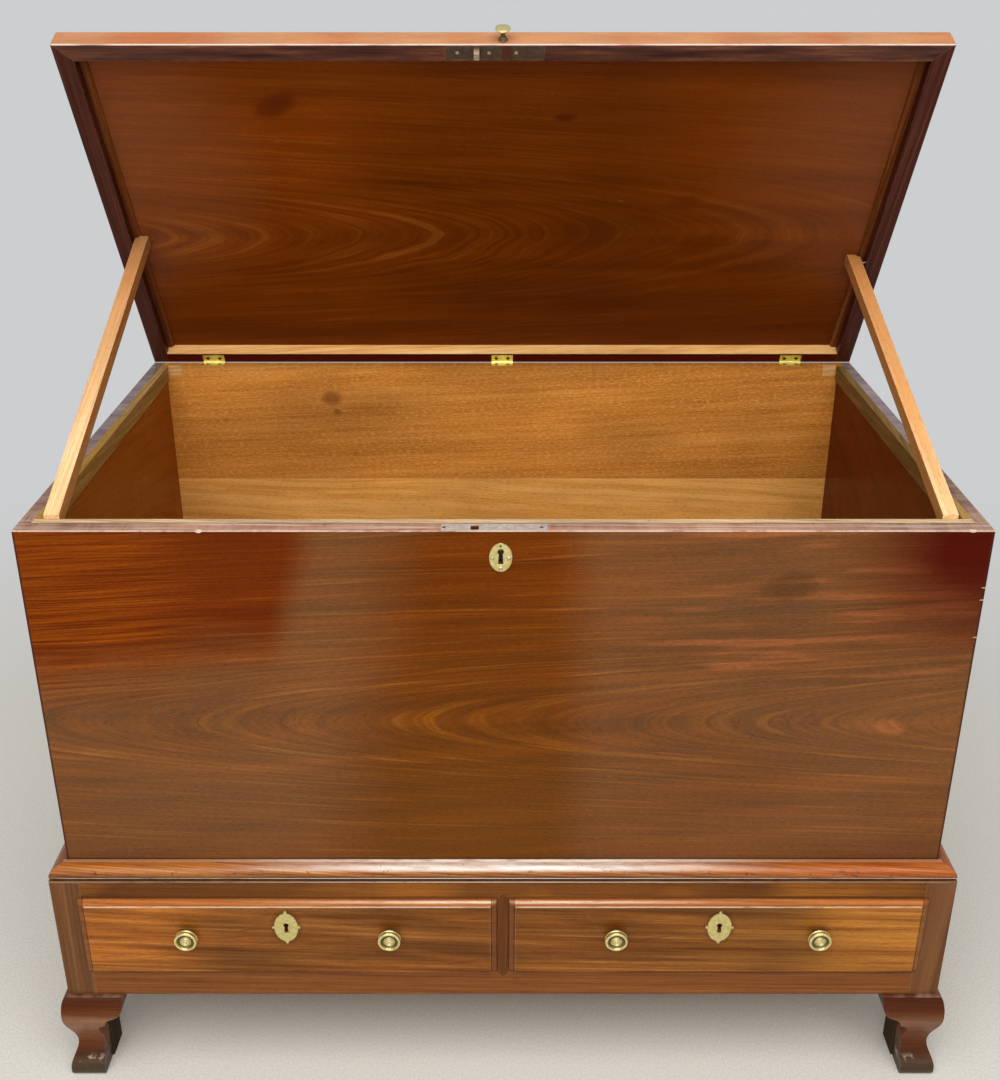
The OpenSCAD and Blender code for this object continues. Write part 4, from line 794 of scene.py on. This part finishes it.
# The lower board is paler than the upper: partly its own tone, partly painted light low in the chest
polished("Lower back oak", "back_board_lower", "xz", [(0, 210, 138, 52), (0.5, 240, 170, 82), (1, 252, 198, 116)],
         heart=0.2, ring=0.012, wave=0.03, seed=73, pores=0, pit=(150, 96, 40), edge=(210, 160, 110), tint=oak_tint,
         **bare(0.08, 0.65))
polished("Chest bottom oak", "chest_bottom", "yx", [(0, 150, 96, 38), (0.5, 188, 132, 62), (1, 212, 162, 90)],
         heart=1.4, ring=0.008, seed=75, **bare(0.12, 0.7))


def batten_tint(place, bands, colour):
    """Battens: weathered, with dark cracks along the grain and a dark joint along the rim, painted shade at the
    right.
    """
    x, y, z = split(here())
    cracks = smooth(noise(place, (9, 420, 420), 3, 0.6), 0.62, 0.7)
    colour = laid(colour, (64, 46, 30), cracks, 0.75)
    colour = mix(span(noise(place, (6, 60, 60)), 0.45, 0.7, 0, 0.4), colour, (150, 122, 92))
    joint = times(smooth(y, batten_face + 0.0018, batten_face + 0.0009),
                  span(noise(place, (8, 4, 4)), 0.36, 0.5, 0.2, 0.95))
    # Painted shade on the right batten
    colour = shaded(colour, times(smooth(x, 0.5, 0.6), smooth(y, -0.28, -0.1)), 0.6)
    return mix(joint, colour, (58, 38, 26))


polished("Front batten wood", "front_batten", "xy", [(0, 158, 128, 92), (0.5, 206, 174, 130), (1, 234, 208, 168)],
         heart=0.8, seed=76, tint=batten_tint, **bare(0.12, 0.7))
polished("Side batten wood", "side_battens", "yx", [(0, 120, 88, 34), (0.5, 162, 122, 54), (1, 196, 156, 90)],
         heart=1.2, seed=77, tint=batten_tint, **bare(0.12, 0.7))
polished("Patch wood", "back_corner_patches", "xz", [(0, 182, 128, 70), (0.5, 206, 154, 92), (1, 224, 180, 124)],
         heart=1.2, seed=78, **bare(0.12, 0.7))

# Chest lock. Its iron case is let into the back of the front board, and its selvedge lies flush in the rim,
# screwed down, with the slot for the staple. The oval brass plate round the keyhole is held by three pins.

metal("Selvedge iron", "lock_selvedge", (226, 214, 204), (178, 160, 146), (110, 84, 60), 0.42,
      rubbed_and_sheen=(240, 232, 222), specks=0.3, shine=0.35)


def hinge_holes():
    """The hinges' screws are dark in their holes."""
    x, y, z = split(here())
    return times(smooth(y, 0.29, 0.31), smooth(z, 1.1, 1), 0.95)


metal("Screw steel", "chest_screws lid_screws", (214, 204, 170), (164, 150, 116), (44, 30, 18), 0.35, hinge_holes,
      rubbed_and_sheen=(236, 226, 196))

# Lid. One wide board framed by rails at the front and sides, which close over the chest's rim, with a paler
# rail under its hinged edge and thin slips along its sides. Inside it is polished a deep red-brown; the
# edges that meet the rim are worn to a dull purple.

# The lid's pieces are drawn open. Turned back about the hinges, y runs to the front edge and z up through the lid
on_lid = {"turn": 62.7, "about": (0, 0.339602, 0.9544)}
lid_front = -0.6653
panel_under = 0.0244
rail_under = 0.0004


def front_edge(x, bands):
    """The orange of the lid's front edge, redder in places."""
    patches = noise(joined(times(x, 5), 2), 1, 2)
    orange = mix(smooth(patches, 0.45, 0.62), (186, 130, 88), (178, 106, 64))
    return dimmed(orange, bands, 0, 1, 0.82, 1.24)


def lid_tint(place, bands, colour):
    """Lid board: knots, a painted reflection in pale patches at the sides, blotches at their places inside, a browner
    outside and an orange front edge.
    """
    x, y, z = split(place)
    rough_y = plus(y, times(minus(noise(place, 9), 0.5), 0.02))
    colour = laid(colour, (104, 46, 5), smooth(x, 0.06, 0.2), 0.55)
    streaks = grained(x, 1.8, y, 26, 4)
    colour = dimmed(colour, streaks, 0.3, 0.7, 0.82, 1.16)
    slanted = plus(x, times(plus(rough_y, 0.548), 0.8))
    knots = most(near(slanted, rough_y, -0.348, -0.548, 0.036, 0.028, 0.98),
                 near(x, rough_y, 0.096, -0.524, 0.022, 0.01, 0.9))
    colour = laid(colour, (74, 20, 4), knots, 0.6)
    # Painted reflection: a pale mauve veil at the left and right
    sheen_patches = most(near(x, y, -0.6, -0.42, 0.26, 0.3, 0.95), near(x, y, 0.6, -0.42, 0.3, 0.3, 0.95))
    colour = laid(colour, (170, 124, 90), sheen_patches, 0.09)
    colour = dimmed(colour, near(x, y, 0.02, -0.4, 0.33, 0.5, 0.95), 0, 1, 1.06, 0.84)
    colour = shaded(colour, smooth(y, -0.2, -0.04), 0.86)
    blotches = most(near(slanted, rough_y, 0.56, -0.27, 0.05, 0.03, 0.95),
                    near(slanted, rough_y, 0.45, -0.36, 0.034, 0.02, 0.95))
    colour = laid(colour, (84, 22, 2), blotches, 0.3)
    colour = fibred(colour, x, y, 0.13)
    top_side = smooth(z, panel_under + 0.002, panel_under + 0.003)
    outside = ramp(plus(times(bands, 0.6), times(streaks, 0.4)),
                   [(0.25, 78, 30, 8), (0.45, 112, 52, 18), (0.6, 136, 70, 28), (0.75, 160, 96, 48)])
    colour = laid(colour, outside, top_side, 0.8)
    edge_face = times(smooth(y, lid_front + 0.0008, lid_front + 0.0003), smooth(z, panel_under - 0.001, panel_under))
    return laid(colour, front_edge(x, bands), edge_face, 0.9)


polished("Lid mahogany", "lid_panel", "xy", [(0, 92, 36, 3), (0.4, 113, 49, 4), (0.7, 126, 60, 8), (1, 150, 84, 28)],
         heart=-0.285, depth=0.16, rise=-0.15, ring=0.0052, narrow=1.8, wave=0.035, bold=0.7, pores=0.18,
         pit=(60, 22, 6), lines=0.32, fade=0.7, scratch=0.1, seed=81, specular=0.07, coat=0.02, edge=(214, 150, 108),
         edge_wear_and_sheen=0.5, tint=lid_tint, **on_lid)


def rail_tint(place, bands, colour):
    """Lid rails: dull purple where they meet the rim, orange on the front edge, with a painted highlight on its lower
    arris.
    """
    x, y, z = split(place)
    meets = smooth(z, rail_under + 0.0006, rail_under + 0.0002)
    long_run = noise(place, (7, 90, 1), 4, 0.6)
    wear_and_glare = ramp(long_run, [(0.32, 54, 30, 26), (0.5, 84, 50, 40), (0.62, 112, 66, 46), (0.75, 150, 118, 104)])
    colour = laid(colour, wear_and_glare, meets, 0.9)
    front = smooth(y, lid_front + 0.0007, lid_front + 0.0002)
    colour = laid(colour, front_edge(x, bands), front, 0.9)
    # A painted highlight along the lower arris of the front edge
    arris = most(times(front, smooth(z, rail_under + 0.0022, rail_under + 0.0012)),
                 times(meets, smooth(y, lid_front + 0.0019, lid_front + 0.0011)))
    patchy = span(noise(joined(times(x, 9), 5), 1), 0.36, 0.5, 0.25, 1)
    return laid(colour, (250, 226, 212), arris, patchy, 0.9)


lid_rail_stops = [(0, 46, 16, 8), (0.4, 68, 28, 16), (0.75, 84, 40, 26), (1, 114, 66, 48)]
polished("Lid front rail mahogany", "lid_front_rail", "xy", lid_rail_stops, heart=0.4, seed=83, pores=0.1,
         pit=(112, 52, 24), edge=(226, 176, 140), edge_wear_and_sheen=0.6, tint=rail_tint, **on_lid)
polished("Lid side rail mahogany", "lid_side_rail_left lid_side_rail_right", "yx", lid_rail_stops, heart=1.4, seed=84,
         edge=(160, 112, 92), edge_wear_and_sheen=0.5, **on_lid)
polished("Slip mahogany", "lid_slips", "yx", [(0, 76, 34, 12), (0.5, 112, 58, 24), (1, 146, 92, 52)], heart=1.4,
         seed=85, edge=(150, 96, 70), **on_lid)


def rear_rail_tint(place, bands, colour):
    """Rear rail: dark red where it meets the rim."""
    z = split(place)[2]
    meets = smooth(z, rail_under + 0.0012, rail_under + 0.0004)
    return laid(colour, dimmed((78, 15, 2), bands, 0, 1, 0.7, 1.3), meets, 0.995)


polished("Rear rail wood", "lid_rear_rail", "xy", [(0, 200, 134, 72), (0.5, 238, 180, 110), (1, 250, 208, 142)],
         heart=0.5, seed=86, pores=0.1, edge=(240, 204, 150), edge_wear_and_sheen=0.2, tint=rear_rail_tint, **bare(0.05, 0.6),
         **on_lid)

# Hinges. Three butt hinges of yellow brass, their leaves let into the back's rim and the lid's rail and
# screwed, with the knuckles in a hollow between the boards and the pins through them.

metal("Hinge brass", "hinge_chest_leaves hinge_lid_leaves", (232, 216, 146), (202, 184, 100), (92, 78, 32), 0.26,
      rubbed_and_sheen=(250, 242, 196))
metal("Hinge pin brass", "hinge_pins", (220, 200, 120), (184, 162, 84), (84, 68, 30), 0.3)

# Lid lock plate, staple and knob. The iron link plate is screwed to the rail, stained dark and rusty, with the
# bright staple riveted through it. The small brass knob for lifting the lid is screwed into the front edge.


def link_rust():
    """Rust in patches, and over the plate's right half near the staple."""
    place = here()
    x = split(place)[0]
    broken = between(plus(x, times(noise(place, 200, 2), 0.006)), 0.001, 0.017, 0.001)
    return times(most(times(span(noise(place, 60, 4), 0.5, 0.7), 0.5), broken), 0.9)


metal("Link plate iron", "lock_link_plate", (92, 74, 56), (62, 48, 38), (84, 38, 22), 0.45, link_rust,
      rubbed_and_sheen=(150, 128, 104), shine=0.4)
metal("Staple steel", "lock_staple", (226, 208, 184), (180, 160, 132), (90, 70, 50), 0.3)


def knob_stem():
    """The stem is brown with old polish, and the head bright."""
    y = split(board_space("xy", **on_lid))[1]
    return times(smooth(y, lid_front - 0.0149, lid_front - 0.0131), 0.85)


metal("Lid knob brass", "lid_knob", (240, 228, 168), (206, 190, 120), (72, 42, 18), 0.22, knob_stem)

# Stays. Two square bars of pale wood, each turning on a screw in the lid's side rail, their feet standing on
# the front batten. Their outer corner is bevelled at the top to clear the lid.


def stay_tint(place, bands, colour):
    """The inner side painted browner than the face towards the front, as shade; browner at the top, and grubby at the
    ends.
    """
    nx, ny, nz = split(put("ShaderNodeTexCoord").outputs["Normal"])
    x, y, z = split(here())
    # Painted shade on the inner side
    inner = smooth(times(nx, calc("SIGN", x)), -0.4, -0.8)
    colour = laid(colour, dimmed((168, 104, 34), bands, 0, 1, 0.8, 1.2), inner, 0.8)
    right = times(smooth(x, -0.1, 0.1), smooth(z, 0.96, 1.04), 0.7)
    colour = laid(colour, (222, 150, 78), right, minus(1, inner))
    top = dimmed((182, 118, 60), bands, 0, 1, 0.8, 1.2)
    colour = mix(span(z, 1.02, 1.17, 0, 0.85), colour, top)
    ends = most(smooth(z, 0.965, 0.94), smooth(z, 1.15, 1.22))
    return dimmed(colour, times(ends, noise(place, 40)), 0, 0.6, 1, 0.7)


polished("Stay wood", "stay_left stay_right", ((0, 0.87, 0.48), (1, 0, 0)),
         [(0, 212, 156, 100), (0.5, 242, 194, 138), (1, 252, 222, 174)], heart=1.4, ring=0.003, seed=91,
         edge=(250, 228, 190), tint=stay_tint, **bare(0.2, 0.5))

# Floor, light and camera. A plain pale floor that fades into a pale backdrop, soft light from above and in
# front, and the photograph's viewpoint: a little above the open lid, looking down at the chest.

backdrop = srgb(204, 206, 207)
half = 12
floor_mesh = bpy.data.meshes.new("floor")
floor_mesh.from_pydata([(-half, -half, 0), (half, -half, 0), (half, half, 0), (-half, half, 0)], [], [(0, 1, 2, 3)])
floor = added("floor", floor_mesh)
floor_material, shader = new_material("floor")
floor_mesh.materials.append(floor_material)
place = here()
pile = noise(place, 260, 2)
floor_colour = dimmed((224, 220, 210), pile, 0.35, 0.65, 0.93, 1.06)
fill(shader, {"Base Color": floor_colour, "Roughness": 0.95, "Specular IOR Level": 0.1})
floor_x, floor_y, floor_z = split(place)
behind = joined(times(floor_x, 0.75), most(floor_y, 0))
away = put("ShaderNodeVectorMath", {0: behind}, operation="LENGTH").outputs["Value"]


def seen_directly():
    """1 for rays that show the thing itself, 0 for those that only carry its light."""
    rays = put("ShaderNodeLightPath").outputs
    return most(rays["Is Camera Ray"], most(rays["Is Glossy Ray"], rays["Is Transmission Ray"]))


direct = seen_directly()
glow = put("ShaderNodeEmission", {"Color": backdrop, "Strength": 1}).outputs[0]
faded = put("ShaderNodeMixShader", {0: times(smooth(away, 0.55, 2.2), direct), 1: shader.outputs[0], 2: glow})
fill(tree.nodes["Material Output"], {"Surface": faded.outputs[0]})


def soft_lamp(name, place, target, size, power):
    data = bpy.data.lights.new(name, "AREA")
    data.shape = "RECTANGLE"
    data.size, data.size_y = size
    data.energy = power
    lamp = added(name, data)
    lamp.location = place
    lamp.rotation_euler = (Vector(target) - Vector(place)).to_track_quat("-Z", "Y").to_euler()


soft_lamp("ceiling light", (0, -1.7, 3.5), (0, 0, 0.6), (3.6, 2.4), 102)
soft_lamp("front light", (-0.6, -4.2, 2.2), (0, 0, 0.7), (3.6, 2.4), 42)

world = bpy.data.worlds.new("studio")
world.use_nodes = True
bpy.context.scene.world = world
opened(world.node_tree)
direct = seen_directly()
shown = put("ShaderNodeBackground", {"Color": backdrop, "Strength": 1}).outputs[0]
ambient = tree.nodes["Background"]
fill(ambient, {"Color": (1, 1, 1, 1), "Strength": 0.4})
both = put("ShaderNodeMixShader", {0: direct, 1: ambient.outputs[0], 2: shown})
fill(tree.nodes["World Output"], {"Surface": both.outputs[0]})

# The photograph's camera, worked out from the straight edges of the chest
camera_data = bpy.data.cameras.new("camera")
camera_data.lens = 37.61
camera_data.sensor_width = 36
camera_data.shift_x = 0.0007
camera_data.shift_y = -0.1435
camera = added("camera", camera_data)
camera.location = (-0.0054, -1.6514, 1.6611)
camera.rotation_euler = (math.radians(90 - 20.7), 0, 0)
bpy.context.scene.camera = camera
bpy.context.scene.view_settings.view_transform = "Standard"
